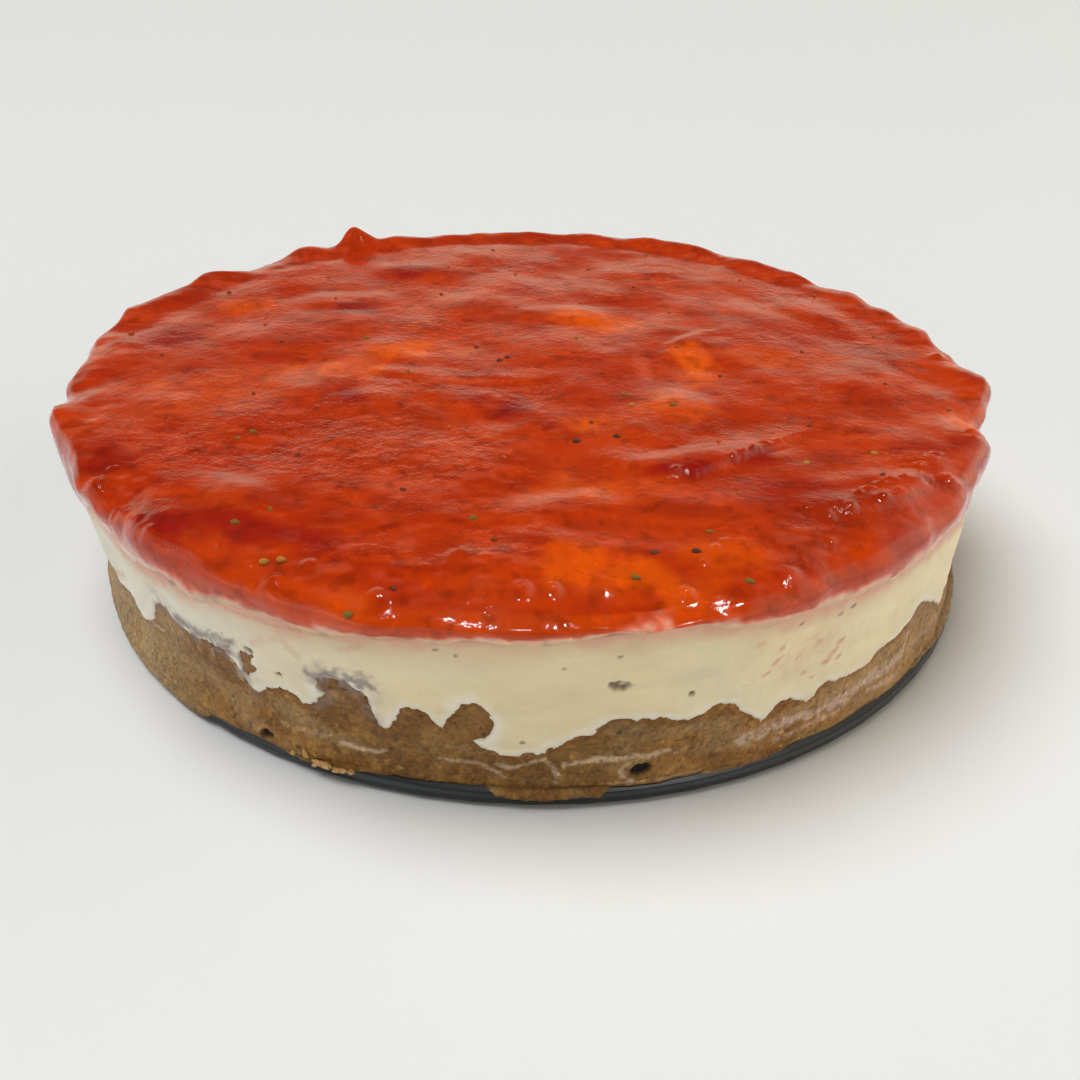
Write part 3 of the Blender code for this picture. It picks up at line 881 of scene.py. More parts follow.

# %% [markdown]
# When the ring came off, the knife dragged cream over the crumb in thin lines. They lie too flat to need a
# shape of their own, so they are colour on the same skin, and so are the grey border and the black of the
# pits, which is painted shade.

# %% Smears on the crumb
# smears of cream that the knife left on the crumb: half a width, strength, path of angles and heights
WHITE_SMEARS = (
    (0.3, 0.35, ((243.7, 8), (245.9, 8.1), (249.4, 8.3))),
    (0.36, 0.8, ((250.5, 7.6), (252.7, 7), (254.4, 7.3), (255.6, 8.1))),
    (0.3, 0.6, ((261.2, 7.9), (263.4, 7.8), (265.2, 7.7), (266.2, 6.9), (267.6, 5.5))),
    (0.3, 0.8, ((266.7, 8.1), (267.7, 7.6), (268.7, 7.7), (270.2, 8.7), (271.7, 9.3))),
    (0.36, 0.75, ((272, 8.7), (272.5, 7.5), (272.8, 6.2), (272.7, 4.8))),
    (0.46, 0.9, ((273.7, 7.9), (275.2, 8.3), (277.2, 9.1), (278.7, 8.7), (280.2, 8.8), (282.3, 8.9),
                 (284.4, 9.3))),
    (0.3, 0.4, ((284.9, 8.3), (286.5, 9.2), (287.6, 9.4))),
    (0.4, 0.8, ((280, 7.6), (279.2, 6.6), (279.4, 5.1), (280.4, 4.3))),
    (0.26, 0.45, ((277.1, 4), (281.2, 4), (285.5, 4), (287.7, 4))),
    (0.3, 0.7, ((223, 14.1), (224.4, 13.6), (225.8, 13.7))),
    (0.4, 0.7, ((238.3, 18.6), (238.9, 16.9), (239.2, 15.4), (239.2, 13.7))),
    (0.36, 0.45, ((235.9, 18.1), (235.8, 16.3))),
)
# wider smears of cream and juice, in the same order
MAUVE_SMEARS = (
    (1.1, 0.85, ((292.4, 8.2), (297.2, 8.3), (302, 8.2), (306.6, 8.2), (309.1, 8.7), (315, 8.7),
                 (317.2, 9.5))),
    (0.8, 0.8, ((317.2, 9.5), (317.9, 11.6), (317.8, 13.4))),
    (0.42, 0.55, ((296.6, 5.4), (298.6, 5.7), (302.8, 6.1), (305, 6.2), (307.4, 7))),
    (0.55, 0.7, ((311, 6.4), (313, 6.1), (314.7, 5.6), (316.3, 6))),
    (0.9, 0.4, ((319, 8.6), (323.5, 8.4), (328, 8))),
)
# painted light: the crumb is painted lighter towards both sides, where more light falls on it: angle,
# brightness
SIDE_LIGHT_GAIN = (
    (200, 1.04), (206, 1.1), (240, 1.2), (258, 0.95), (280, 0.95), (290, 1.25), (312, 1.4), (335, 1.25),
    (345, 1),
)
# small dark grains: angle, height, half length, half height, turn
DARK_SPOTS = (
    (259.9, 16.7, 0.5, 0.35, 0), (265.9, 14.2, 0.5, 0.4, 0), (278.9, 14.4, 0.6, 0.4, 0),
    (224.8, 7.3, 0.5, 0.4, 0), (230.8, 7.4, 0.5, 0.4, 0), (240.1, 9.4, 0.5, 0.4, 0),
    (245.8, 4.9, 0.6, 0.4, 0), (250.4, 5.7, 0.5, 0.4, 0), (250.7, 18.9, 0.5, 0.3, 0),
    (252.3, 19.3, 0.6, 0.3, 0), (254.4, 18.5, 0.4, 0.3, 0),
)
print("smears on the crumb:", len(WHITE_SMEARS) + len(MAUVE_SMEARS))

# %% The crumb as one piece
whitish = strokes(angle_grid, height_grid, WHITE_SMEARS, 52)
mauve = strokes(angle_grid, height_grid, MAUVE_SMEARS, 54)
near_border = blend(1.0 + crumb_field / 2.2) * blend(0.6 + 1.3 * cloud(crumb_place, 1.2 * MM, 43))
crumb_tint = crumb_colour(crumb_place, angle_grid, height_grid)
crumb_tint = mix(crumb_tint, CRUMB_RICH, 0.5 * blend(1.0 + crumb_field / 1.6))
# painted light: the side gain makes the crumb lighter towards both sides
crumb_tint = painted(
    crumb_tint * profile(angle_grid, SIDE_LIGHT_GAIN)[..., None],
    (CREAM_GREY, 0.75 * profile(angle_grid, RUBBED) * near_border),
    (SMEAR, 0.75 * whitish),
    (SMEAR_MAUVE, 0.85 * mauve),
    (CRUMB_DARK * 0.5, 0.8 * spots(angle_grid, height_grid, DARK_SPOTS, 56)),
    # painted shade: the crumb's pits are painted black
    (PIT_SHADE_BLACK, crumb_pits),
)


def with_ends(tint, colour):
    """The wall's tint, with one colour for the hidden rings and middle points below and above it."""
    below_wall = np.tile(colour, (len(WALL_ANGLES), 1))
    above_wall = np.tile(colour, (len(WALL_ANGLES) + 2, 1))
    return np.concatenate([below_wall, tint.reshape(-1, 3), above_wall])


crumb_tint = with_ends(crumb_tint, CRUMB)
crumb_piece = make_piece("biscuit_layer", lean_over(crumb_points), crumb_faces, CRUMB_LOOK, tint=crumb_tint)
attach(crumb_piece, "root")
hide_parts("crumb_base")
print("biscuit layer: %d triangles" % triangles(crumb_piece))

# %% [markdown]
# ## The cream
#
# The set cream has a smooth wall, because the ring of the tin shaped it, with faint dents from lifting
# the ring. A turned profile would be smooth at once, but the tongues, the dents and the pits have to be
# real shapes, so the skin is a grid of points like the crumb's, and each point is moved by a rule. Above
# the line the skin stands a hair's breadth proud of the crumb, and below the line it dives into it.

# %% Top of the cream
CREAM_FOOT = 7.6 * MM
CREAM_ROWS = 70
CREAM_WAVES = ((3, 0.50, 0.2), (8, 0.30, 0.4), (19, 0.20, 1.9))
TOPPING_HEMS = ((206.5, 9.0, -8.0), (224.5, 9.0, -2.8), (296.0, 27.0, 1.5), (330.0, 7.0, -1.2))
CREAM_PROUD = 0.24 * MM
CREAM_DIVE = 1.5 * MM
CREAM_PIT_DEPTH = 0.6 * MM


def topping_hem(angle):
    """Where the topping's lower rim hangs lower or ends higher than elsewhere."""
    return hump_sum(angle, TOPPING_HEMS)


def cream_line(angle):
    """The top of the cream at the wall."""
    return CREAM_LEVEL - 0.5 * MM + wave_sum(angle, CREAM_WAVES) + topping_hem(angle)


print("hems that hang low or end high:", len(TOPPING_HEMS))

# %% The line below the topping
# how much lower or higher than the cream's top the topping ends, and how wide its pink froth is: angle,
# millimetres
HEM_SHIFT = (
    (214, 0), (224.5, -0.3), (230, -2.4), (235, -3.2), (241, -2), (246, -1.6), (249, -1.9), (252, -1.4),
    (256, -0.8), (261, -0.4), (266, -0.1), (270, 0.4), (276, 0.5), (283, 0.5), (286.5, 0.4),
    (290, -0.6), (295, -1.6), (300, -1.9), (304, -2.2), (309, -1.7), (320, -0.6), (330, -0.4),
    (574, -0.4),
)
FROTH = (
    (180, 2.6), (215, 4.2), (232, 3.8), (242, 3), (256, 2.2), (282, 2.2), (292, 3), (306, 3.8),
    (330, 3.4), (540, 2.6),
)


def hem_height(angle):
    """Where the topping's lower rim meets the cream."""
    return cream_line(angle) + GAP + MM * profile(angle, HEM_SHIFT)


print("the topping ends %.1f mm above the table in front" % (float(hem_height(270.0)) / MM))

# %% Skin of the cream
share_up = np.linspace(0.0, 1.0, CREAM_ROWS)[:, None]
cream_head = cream_line(WALL_ANGLES)[None, :] + GAP + 1.2 * MM
height_grid = CREAM_FOOT + share_up * (cream_head - CREAM_FOOT)
angle_grid = np.broadcast_to(WALL_ANGLES, height_grid.shape)
cream_place = on_wall(wall_radius(height_grid, angle_grid), angle_grid, height_grid)
cream_field = ragged_field(angle_grid, height_grid)
cream_pits = spots(angle_grid, height_grid, CREAM_PITS, 61)
stretched = cream_place * STRETCH
cream_out = wall_radius(height_grid, angle_grid)
cream_out = cream_out + CREAM_PROUD * blend(cream_field / 0.9) - CREAM_DIVE * blend(-cream_field / 0.6)
cream_out = cream_out + 0.17 * MM * cloud(stretched, 3.2 * MM, 62)
cream_out = cream_out + 0.12 * MM * cloud(cream_place, 1.6 * MM, 63)
cream_out = cream_out - CREAM_PIT_DEPTH * cream_pits
cream_out = cream_out - 1.2 * MM * blend((height_grid - hem_height(angle_grid)) / (1.5 * MM) - 0.2)
cream_wall = on_wall(cream_out, angle_grid, height_grid)
cream_bottom = on_wall(INNER_RADIUS, WALL_ANGLES, CREAM_FOOT + 2.0 * MM)
cream_top = on_wall(INNER_RADIUS, WALL_ANGLES, CREAM_LEVEL)
cream_points, cream_faces = closed_stack(np.concatenate([cream_bottom[None], cream_wall, cream_top[None]]))

print("cream skin: %d rows of %d points" % cream_wall.shape[:2])

# %% [markdown]
# Juice has run from the topping and left pink stains, and the knife has rubbed grey crumb into the border.
# Small brown dots are single crumbs. Close under the topping the cream blushes pink.

# %% Marks on the cream
PINK_STREAKS_AND_HEM_SHADOW = (
    (0.8, 0.45, ((242.9, 24.4), (245.1, 26.6), (246.8, 26.5), (248.1, 24.3))),
    (0.7, 0.45, ((252.8, 27.4), (255, 29.2))),
    # painted shadow: this thin darker line lies under the topping's hem
    (0.34, 0.8, ((240.3, 29.2), (244.6, 29.6), (249.1, 29.7), (252.7, 29.8))),
    (0.9, 0.9, ((212.4, 15.8), (219, 19.8))),
)
PINK_STAINS = (
    (292.9, 27.4, 1.1, 0.5, 22), (295.6, 25.5, 1.5, 0.6, 24), (295.2, 23.3, 1.2, 0.5, 26),
    (294.2, 21.4, 1.4, 0.5, 20), (299.8, 25.4, 1.6, 0.5, 22), (303.7, 22.4, 1.1, 0.5, 26),
    (299.4, 18.5, 0.8, 0.5, 20), (300.6, 16.9, 0.7, 0.5, 20), (302, 19.3, 0.9, 0.5, 24),
    (304, 18.9, 0.9, 0.5, 24), (303.8, 17.4, 0.7, 0.5, 24), (305.8, 14.2, 0.7, 0.4, 24),
    (292, 20, 0.9, 0.6, 10), (301, 24, 1.8, 0.7, 20), (303, 20.8, 1.4, 0.6, 30),
    (298.2, 22.6, 1.6, 0.5, 40), (296.4, 26.8, 1, 0.5, 30),
)
GREY_STREAKS = (
    (0.9, 1, ((228.6, 20.9), (232.9, 20.9), (236.1, 21.1), (239.6, 21.9))),
    (0.8, 0.9, ((248.7, 21.6), (250.3, 21.8), (252.3, 22.6), (254.3, 21.4), (255.8, 21.8))),
    (0.6, 0.8, ((249.2, 21), (249.6, 18.6))),
    (0.5, 0.6, ((252, 23.6), (255.3, 23.4))),
)
BROWN_DOTS = (
    (264, 29.5, 0.5, 0.4, 0), (262.3, 30.4, 0.6, 0.4, 0), (273.8, 27.9, 0.4, 0.4, 0),
    (279, 29.8, 0.5, 0.4, 0), (232.4, 29, 0.9, 0.5, 0), (269.6, 12.9, 0.5, 0.4, 0),
    (303, 28.4, 0.7, 0.35, 20), (304.6, 29, 0.8, 0.35, 20), (297.9, 29.2, 0.6, 0.3, 20),
    (238.9, 20.9, 0.8, 0.4, 30), (241.9, 21.4, 0.8, 0.4, 50),
)
# a wide blush in front at the right, and a fleck of cream in the middle of the largest pit
BLUSHED = ((299.5, 23.0, 9.0, 5.0, 20.0),)
FLECK_IN_PIT = ((279.3, 24.2, 0.8, 0.45, 5.0),)
STAIN_AND_SHADOW_TINT = CREAM_PINK * (0.85, 0.66, 0.60)
print("stains on the cream: %d, brown dots: %d" % (len(PINK_STAINS), len(BROWN_DOTS)))

# %% Where each mark lies
mottle = 0.6 * cloud(stretched, 3.0 * MM, 57) + 0.4 * cloud(stretched, 1.2 * MM, 58)
leftward = blend((256.0 - angle_grid) / 24.0) * blend((angle_grid - 196.0) / 16.0)
under_hem = (hem_height(angle_grid) - height_grid) / MM
uneven = 0.9 + 0.6 * cloud(cream_place, 5.0 * MM, 65) + 0.5 * cloud(cream_place, 1.8 * MM, 69)
froth = profile(angle_grid, FROTH) * uneven
blush = blend(1.0 - under_hem / (5.0 + 2.0 * cloud(cream_place, 7.0 * MM, 55)))
pink_band = blend(1.0 - (under_hem + 0.4) / np.maximum(froth, 0.5))
white_edge = blend(1.0 - cream_field / (2.4 + 1.6 * cloud(cream_place, 3.0 * MM, 49)))
stained = spots(angle_grid, height_grid, PINK_STAINS, 66, ragged=0.9, soft=0.8)
stain_and_shadow_cover = np.maximum(stained, strokes(angle_grid, height_grid, PINK_STREAKS_AND_HEM_SHADOW, 59))
on_border = blend(1.5 - cream_field / (2.4 + 1.2 * cloud(cream_place, 2.4 * MM, 44)))
on_border = profile(angle_grid, RUBBED) * on_border
flecked = blend(0.75 + 1.2 * cloud(cream_place, 1.1 * MM, 60))
grey_cover = flecked * strokes(angle_grid, height_grid, GREY_STREAKS, 67, ragged=0.8)
print("share of the wall under a pink band: %.2f" % float(pink_band.mean()))

# %% The cream as one piece
cream_tint = mix(CREAM, CREAM_WARM, 0.5 + 0.5 * cloud(cream_place, 14.0 * MM, 64))
cream_tint = mix(cream_tint, CREAM_COOL, 0.8 * leftward)
# painted light: the cream is painted up to 6 % lighter towards the right side, where more light falls
cream_tint = cream_tint * (1.01 + 0.10 * mottle + 0.06 * blend((angle_grid - 286.0) / 14.0))[..., None]
cream_tint = painted(
    cream_tint,
    (CREAM_WHITE, 0.85 * white_edge),
    (CREAM_BLUSH, 0.7 * blush),
    (CREAM_PINK, 0.9 * pink_band),
    # the stain colour also paints the shadow line under the hem, as painted shadow
    (STAIN_AND_SHADOW_TINT, 0.6 * stain_and_shadow_cover),
    (CREAM_BLUSH, 0.4 * spots(angle_grid, height_grid, BLUSHED, 53, soft=0.9)),
    (CREAM_GREY, on_border * blend(0.55 + 0.9 * cloud(cream_place, 1.3 * MM, 40))),
    (CRUMB_DARK, 0.6 * on_border * blend(2.2 * cloud(cream_place, 1.5 * MM, 39) - 0.9)),
    (CREAM_GREY, 0.9 * grey_cover),
    (CRUMB_DARK, 0.7 * spots(angle_grid, height_grid, BROWN_DOTS, 68)),
    (CRUMB_DARK * 0.8, 0.8 * cream_pits),
    (CREAM, 0.7 * spots(angle_grid, height_grid, FLECK_IN_PIT, 50)),
    (CRUMB_LIGHT, 0.25 * blend(1.0 - cream_field / 0.3)),
)
cream_tint = with_ends(cream_tint, CREAM)
cream_piece = make_piece("cream_layer", lean_over(cream_points), cream_faces, CREAM_LOOK, tint=cream_tint)
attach(cream_piece, "root")
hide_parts("cream")
print("cream layer: %d triangles" % triangles(cream_piece))

# %% [markdown]
# ## The strawberry topping
#
# Mashed and cut strawberries in a little jelly were spread over the cream and set. The surface rises over
# pieces of fruit and swells in between, its edge is lobed and hangs over the cream in places. Sculpting
# by hand could give such a skin, but sums of simple humps are easier to move and to measure: each lump of
# the edge, each sunk fruit, each fold and each knob is one row of a list.

# %% Measurements of the topping
TOP_EDGE_RADIUS = 91.4 * MM
TOP_EDGE_WAVES = ((4, 0.35, 0.9), (11, 0.40, 2.6), (27, 0.30, 0.3), (43, 0.20, 4.0))
SHOULDER = 7.0 * MM
SHOULDER_DROP = 1.3 * MM
FRONT_SHOULDER = 12.0 * MM
FRONT_DROP = 3.2 * MM
HEM_BULGE = 0.04
EDGE_INSET = 1.2 * MM

# angle, half width in degrees, rise in millimetres, reach outward in millimetres
EDGE_LUMPS = (
    (92, 92, 1.5, 0.6), (355.5, 6.5, 2.4, 4.2), (345, 4.5, -1.4, -1.4), (338, 6.5, 1, 1.2),
    (322, 6, -0.8, -0.4), (5, 5, 0.8, 1), (13, 6, 1.6, 2.2), (21, 4.5, 1.8, 0.8), (30.5, 6, 1.2, 0.6),
    (41, 6, 1.8, 0.6), (49.5, 5.5, 2, 0.8), (60.5, 8, 2.4, 0.8), (68.5, 6, 2.2, 0.8), (78, 9, 0.8, 0.5),
    (91, 7, 1.3, 0.4), (101, 9, 0.8, 0.4), (114.5, 6, 1.6, 0.3), (121, 3.6, 6.6, 1),
    (128.5, 8, 1.9, 0.3), (132, 5, 1.6, 0.4), (139, 4.5, 0.2, -0.2), (149, 6.5, 3.2, 2.6),
    (157.5, 5, 1.8, 2), (166, 8, 2, 3), (175, 6.5, 0.8, 2.6), (193, 5, -0.4, -1.2),
    (199.5, 5.5, 3, 1.8), (209, 6, 1, 0.4), (222.5, 4, -3, -1.6), (233, 6.5, 1.2, 0.8),
    (251, 6, 0.7, 0.6), (291, 5.5, 0.6, 0.5), (311, 6.5, 0.9, 0.4),
)
print("lumps along the edge:", len(EDGE_LUMPS))

# %% Fruit, folds and knobs
# place across and along, half length, half width, turn in degrees, rise; all in millimetres but the turn
FRUIT = (
    (-31, -23, 11, 7, 20, 0.9), (-8, -22, 13, 8.5, -25, 1.5), (-44, 34, 15, 8, 10, 1.3),
    (-30, 58, 12, 8, -10, 0.9), (-60, 57, 12, 9, 40, 1.2), (33, -44, 19, 6, 14, 1.6),
    (56, -54, 15, 8, 18, 1.3), (38, 6, 15, 11, -15, 1.4), (31, -22, 9, 8, 60, 0.9),
    (12, 28, 17, 8, 5, 1.2), (-24, 4, 14, 10, -30, 1), (8, -62, 16, 8, 8, 0.9),
    (-48, -60, 15, 8, -35, 1.2), (-66, -20, 14, 9, 70, 0.9), (70, -8, 13, 8, 80, 1),
    (66, 34, 14, 8, -50, 1.1), (30, 60, 16, 8, 10, 0.9), (-4, -80, 13, 7, 0, 0.8),
)
# ridges with a steep front: rise, width behind and in front in millimetres, then the path across and along
FOLDS = (
    (0.18, 7, 3, ((-18, -28), (-12, -35), (-6, -37), (-1, -34), (2, -27))),
    (0.95, 10, 1.9, ((18, -48), (24, -51), (30, -49), (37, -44), (46, -37))),
    (0.35, 9, 4, ((-55, -58), (-40, -65), (-26, -67), (-12, -66), (10, -63))),
    (0.4, 8, 3.5, ((4, -73), (18, -78), (30, -75), (44, -72))),
    (0.8, 6, 2.2, ((48, -61), (55, -60), (62, -57), (67, -52))),
    (0.25, 6, 3, ((-27, -9), (-14, -11.5), (3, -10))),
    (0.35, 5, 2.5, ((39, 17), (31, 9), (28, -3), (28, -20), (27, -33))),
    (0.3, 6, 2.5, ((-57, -69), (-50, -70), (-44, -72))),
)
# small knobs of fruit near the edge: place across and along, radius, rise; all in millimetres
KNOBS = (
    (-71, -55, 3, 0.9), (-53, -76, 3.2, 1), (-57, -71, 2.2, 0.6), (-36, -82, 2.6, 0.8),
    (-31, -79, 2, 0.5), (-20, -86.5, 2.6, 0.8), (-9, -77, 2.2, 0.5), (0.5, -85, 2.4, 0.8),
    (5, -84.5, 2, 0.7), (24, -84, 2.2, 0.8), (27, -78, 1.6, 0.4), (49, -63, 2, 0.6),
    (53, -61, 1.8, 0.6), (59, -58, 1.8, 0.6), (83, -31, 2.2, 0.6), (73, -49, 2.4, 0.6),
    (88, 6, 2.2, 0.6), (12, -83, 3, 0.5), (40, -79, 3, 0.5), (-65, -62, 3, 0.5), (26, -50, 1.3, 0.5),
    (29, -51, 1.1, 0.4), (38.5, -43.5, 1.1, 0.5), (40.5, -41, 1, 0.4), (36.5, -45, 1, 0.4),
    (43, -38, 1.1, 0.4), (46, -36.5, 1, 0.3), (69, -45, 1.1, 0.5), (71.5, -42.5, 1.1, 0.4),
    (73, -41, 1, 0.4), (60, -53, 1.2, 0.5), (62, -51.5, 1, 0.4), (57.5, -54.5, 1.1, 0.5),
    (55.5, -56, 1.1, 0.5), (64.5, -50.5, 1, 0.4), (29.5, -74, 1.1, 0.4), (31, -72, 1, 0.3),
    (82, -34, 1.1, 0.4), (84.5, -29.5, 1.1, 0.4), (-69, -51, 1.1, 0.4), (-66, -60, 1.1, 0.4),
    (-60, -66, 1.2, 0.4), (-46, -74, 1.1, 0.4), (-40, -78, 1.1, 0.4), (-25, -82, 1, 0.3),
    (-14, -80, 1.1, 0.3), (-5, -78, 1.1, 0.3), (48, -70, 1.2, 0.3),
)
# long waves of the whole surface: waves across and along each metre, height in millimetres, start
SWELL = (
    (21, 9, 0.22, 0.4), (-13, 26, 0.2, 1.7), (38, -22, 0.1, 3.1), (17, 51, 0.07, 5),
    (-58, 30, 0.06, 2.3), (71, 44, 0.05, 0.9),
)
print("pieces of fruit: %d, folds: %d, knobs: %d" % (len(FRUIT), len(FOLDS), len(KNOBS)))

# %% [markdown]
# Jelly has no sharp corner, so the lumps of the edge are softened into each other. The narrow ones are
# softened less, because there a piece of fruit juts out.

# %% The soft edge
# how widely lumps of the edge are softened, in degrees; those narrower than NARROW are softened less
EDGE_SOFTNESS = 2.0
NARROW = 4.0
NARROW_SOFTNESS = 1.3
EDGE_STEP = 0.5
EDGE_ANGLES = np.arange(0.0, 360.0, EDGE_STEP)
# the columns of EDGE_LUMPS that hold a lump's rise and its reach outward
RISE = 2
REACH = 3


def soft_edge(column):
    """The rise or reach of all lumps along the edge, softened so that one runs into the next."""
    reach = np.arange(-12, 13)
    total = np.zeros(len(EDGE_ANGLES))
    for softness, narrow in ((EDGE_SOFTNESS, False), (NARROW_SOFTNESS, True)):
        some = [lump for lump in EDGE_LUMPS if (lump[1] < NARROW) == narrow]
        plain = MM * sum(lump[column] * hump(EDGE_ANGLES, lump[0], lump[1]) for lump in some)
        weights = np.exp(-0.5 * (reach * EDGE_STEP / softness) ** 2)
        weights /= weights.sum()
        total += sum(weight * np.roll(plain, shift) for weight, shift in zip(weights, reach))
    return total


SOFT_EDGE = {RISE: soft_edge(RISE), REACH: soft_edge(REACH)}


def edge_lump(angle, column):
    """How far the lumps of the topping's edge rise or reach outward at an angle."""
    return np.interp(angle, EDGE_ANGLES, SOFT_EDGE[column], period=360.0)


def top_edge(angle):
    """How far out the topping's edge stands."""
    return TOP_EDGE_RADIUS + wave_sum(angle, TOP_EDGE_WAVES) + edge_lump(angle, REACH)


print("the edge reaches %.1f mm outward at most" % (float(top_edge(EDGE_ANGLES).max()) / MM))

# %% Height of the topping
# the wet jelly fills part of the hollows round the fruit, and the small knobs stand out of it
FRUIT_STRENGTH = 0.4
KNOB_STRENGTH = 1.4


def fruit_rise(x, y):
    """How far the surface rises over the sunk fruit."""
    rise = np.zeros(np.shape(x))
    for across, along, half_length, half_width, turned, height in FRUIT:
        inside = within(x / MM - across, y / MM - along, half_length, half_width, turned)
        rise = np.maximum(rise, height * blend(1.3 * inside))
    return MM * rise


def fold_rise(x, y):
    """How far the surface rises to the ridges and the knobs."""
    here = np.stack([np.asarray(x), np.asarray(y)], axis=-1) / MM
    rise = np.zeros(np.shape(x))
    for height, behind, ahead, path in FOLDS:
        nearest, side = near_path(here, np.array(path))
        width = np.where(side > 0.0, behind, ahead)
        rise = np.maximum(rise, height * blend(1.0 - nearest / width))
    for across, along, radius, height in KNOBS:
        distance = np.hypot(here[..., 0] - across, here[..., 1] - along) / radius
        rise = rise + KNOB_STRENGTH * height * blend(1.0 - distance)
    return MM * rise


def swelling(x, y):
    """Long low waves of the whole surface."""
    total = 0.0
    for across, along, height, start in SWELL:
        total = total + height * np.sin(math.tau * (across * x + along * y) + start)
    return MM * total


def topping_height(x, y):
    """Height of the topping's upper surface."""
    angle = np.degrees(np.arctan2(y, x)) % 360.0
    inward = top_edge(angle) - np.hypot(x, y)
    near_edge = blend(1.0 - inward / (1.4 * SHOULDER))
    front = hump(angle, 265.0, 80.0)
    width = SHOULDER + (FRONT_SHOULDER - SHOULDER) * front
    drop = SHOULDER_DROP + (FRONT_DROP - SHOULDER_DROP) * front
    shoulder = drop * np.maximum(0.0, 1.0 - inward / width) ** 2
    relief = swelling(x, y) + FRUIT_STRENGTH * fruit_rise(x, y) + fold_rise(x, y)
    return TOPPING_LEVEL + relief + edge_lump(angle, RISE) * near_edge - shoulder


print("middle of the topping: %.1f mm above the table" % (float(topping_height(0.0, 0.0)) / MM))

# %% [markdown]
# The surface is a square grid bent into a disc, so its points are spread evenly and none crowd at the
# middle. They lie closer towards the front, where the cake is seen from nearby. The outer ring of points
# runs on over the rounded edge and dips into the cream below it.

# %% Topping surface
TOP_CELLS = 280
RIM_ROWS = 17
CLOSER_IN_FRONT = 0.35

steps = np.linspace(-1.0, 1.0, TOP_CELLS + 1)
closer_steps = steps + 0.5 * CLOSER_IN_FRONT * (steps * steps - 1.0)
u, w = np.meshgrid(steps, closer_steps, indexing="ij")
wide = np.abs(u) >= np.abs(w)
safe_u = np.where(u == 0.0, 1.0, u)
safe_w = np.where(w == 0.0, 1.0, w)
disc_radius = np.where(wide, u, w)
disc_turn = np.where(wide, math.pi / 4.0 * w / safe_u, math.pi / 2.0 - math.pi / 4.0 * u / safe_w)
disc_x = disc_radius * np.cos(disc_turn)
disc_y = disc_radius * np.sin(disc_turn)
disc_angle = np.degrees(np.arctan2(disc_y, disc_x)) % 360.0
disc_reach = np.hypot(disc_x, disc_y) * (top_edge(disc_angle) - EDGE_INSET)
top_x = disc_reach * np.cos(np.radians(disc_angle))
top_y = disc_reach * np.sin(np.radians(disc_angle))
top_z = topping_height(top_x, top_y)
top_points = np.stack([top_x, top_y, top_z], axis=-1).reshape(-1, 3)

number = np.arange((TOP_CELLS + 1) ** 2).reshape(TOP_CELLS + 1, TOP_CELLS + 1)
cell_corners = (number[:-1, :-1], number[1:, :-1], number[1:, 1:], number[:-1, 1:])
top_faces = np.stack([corner.ravel() for corner in cell_corners], axis=1).tolist()
outer = np.concatenate([number[:-1, 0], number[-1, :-1], number[:0:-1, -1], number[0, :0:-1]])
outer_angle = np.degrees(np.arctan2(top_points[outer, 1], top_points[outer, 0])) % 360.0
print("upper surface: %d points" % len(top_points))

# %% [markdown]
# The rim is drawn as a profile of five corners, from the upper surface down to the cream, with a smooth
# curve through them. Where the edge has a lump or hangs low, the corners move outward.

# %% Rim of the topping


def smooth_rows(corners, rows):
    """Rows of points on smooth curves through a few corner rows."""
    corners = np.asarray(corners)
    first = 2.0 * corners[0] - corners[1]
    last = 2.0 * corners[-1] - corners[-2]
    padded = np.concatenate([[first], corners, [last]])
    result = []
    for step in np.linspace(0.0, len(corners) - 1.0, rows):
        begin = min(int(step), len(corners) - 2)
        t = step - begin
        a, b, c, d = padded[begin:begin + 4]
        bend = 2.0 * a - 5.0 * b + 4.0 * c - d
        twist = 3.0 * b - 3.0 * c + d - a
        result.append(0.5 * (2.0 * b + (c - a) * t + bend * t * t + twist * t ** 3))
    return result


edge = top_edge(outer_angle)
upper = top_points[outer, 2]
hem_place = on_wall(TOP_EDGE_RADIUS, outer_angle, CREAM_LEVEL)
hem_shake = 0.6 * cloud(hem_place, 6.0 * MM, 83) + 0.5 * cloud(hem_place, 2.6 * MM, 84) - 0.2
foot = hem_height(outer_angle) + MM * hem_shake
on_cream = wall_radius(foot, outer_angle)
lump = np.maximum(edge_lump(outer_angle, REACH), 0.0)
bulge = HEM_BULGE * np.maximum(-topping_hem(outer_angle), 0.0)
belly = 0.7 * edge + 0.3 * (on_cream + 1.0 * MM) + 0.2 * lump + bulge
# the rim's profile from the top down: distance outward and height
rim_corners = (
    (edge - EDGE_INSET, upper),
    (edge + 0.1 * MM + bulge, upper - 0.26 * (upper - foot)),
    (belly, upper - 0.64 * (upper - foot)),
    (on_cream + 0.35 * MM, foot),
    (on_cream - 0.35 * MM, foot - 1.3 * MM),
)
rim = smooth_rows([np.stack(corner, axis=-1) for corner in rim_corners], RIM_ROWS)[1:]
rim.append(np.tile((INNER_RADIUS, CREAM_LEVEL + GAP), (len(foot), 1)))
rim_points = np.concatenate([on_wall(row[:, 0], outer_angle, row[:, 1]) for row in rim])
below = np.array([[0.0, 0.0, CREAM_LEVEL + GAP]])
topping_points = np.concatenate([top_points, rim_points, below])
columns = len(outer)
rings = [outer] + [len(top_points) + row * columns + np.arange(columns) for row in range(len(rim))]
rim_faces = []
for high, low in zip(rings[:-1], rings[1:]):
    rim_faces += np.stack([high, low, np.roll(low, -1), np.roll(high, -1)], axis=1).tolist()
rim_faces += fan_faces(rings[-1], len(topping_points) - 1, False)
topping_faces = top_faces + rim_faces
print("topping: %d points" % len(topping_points))

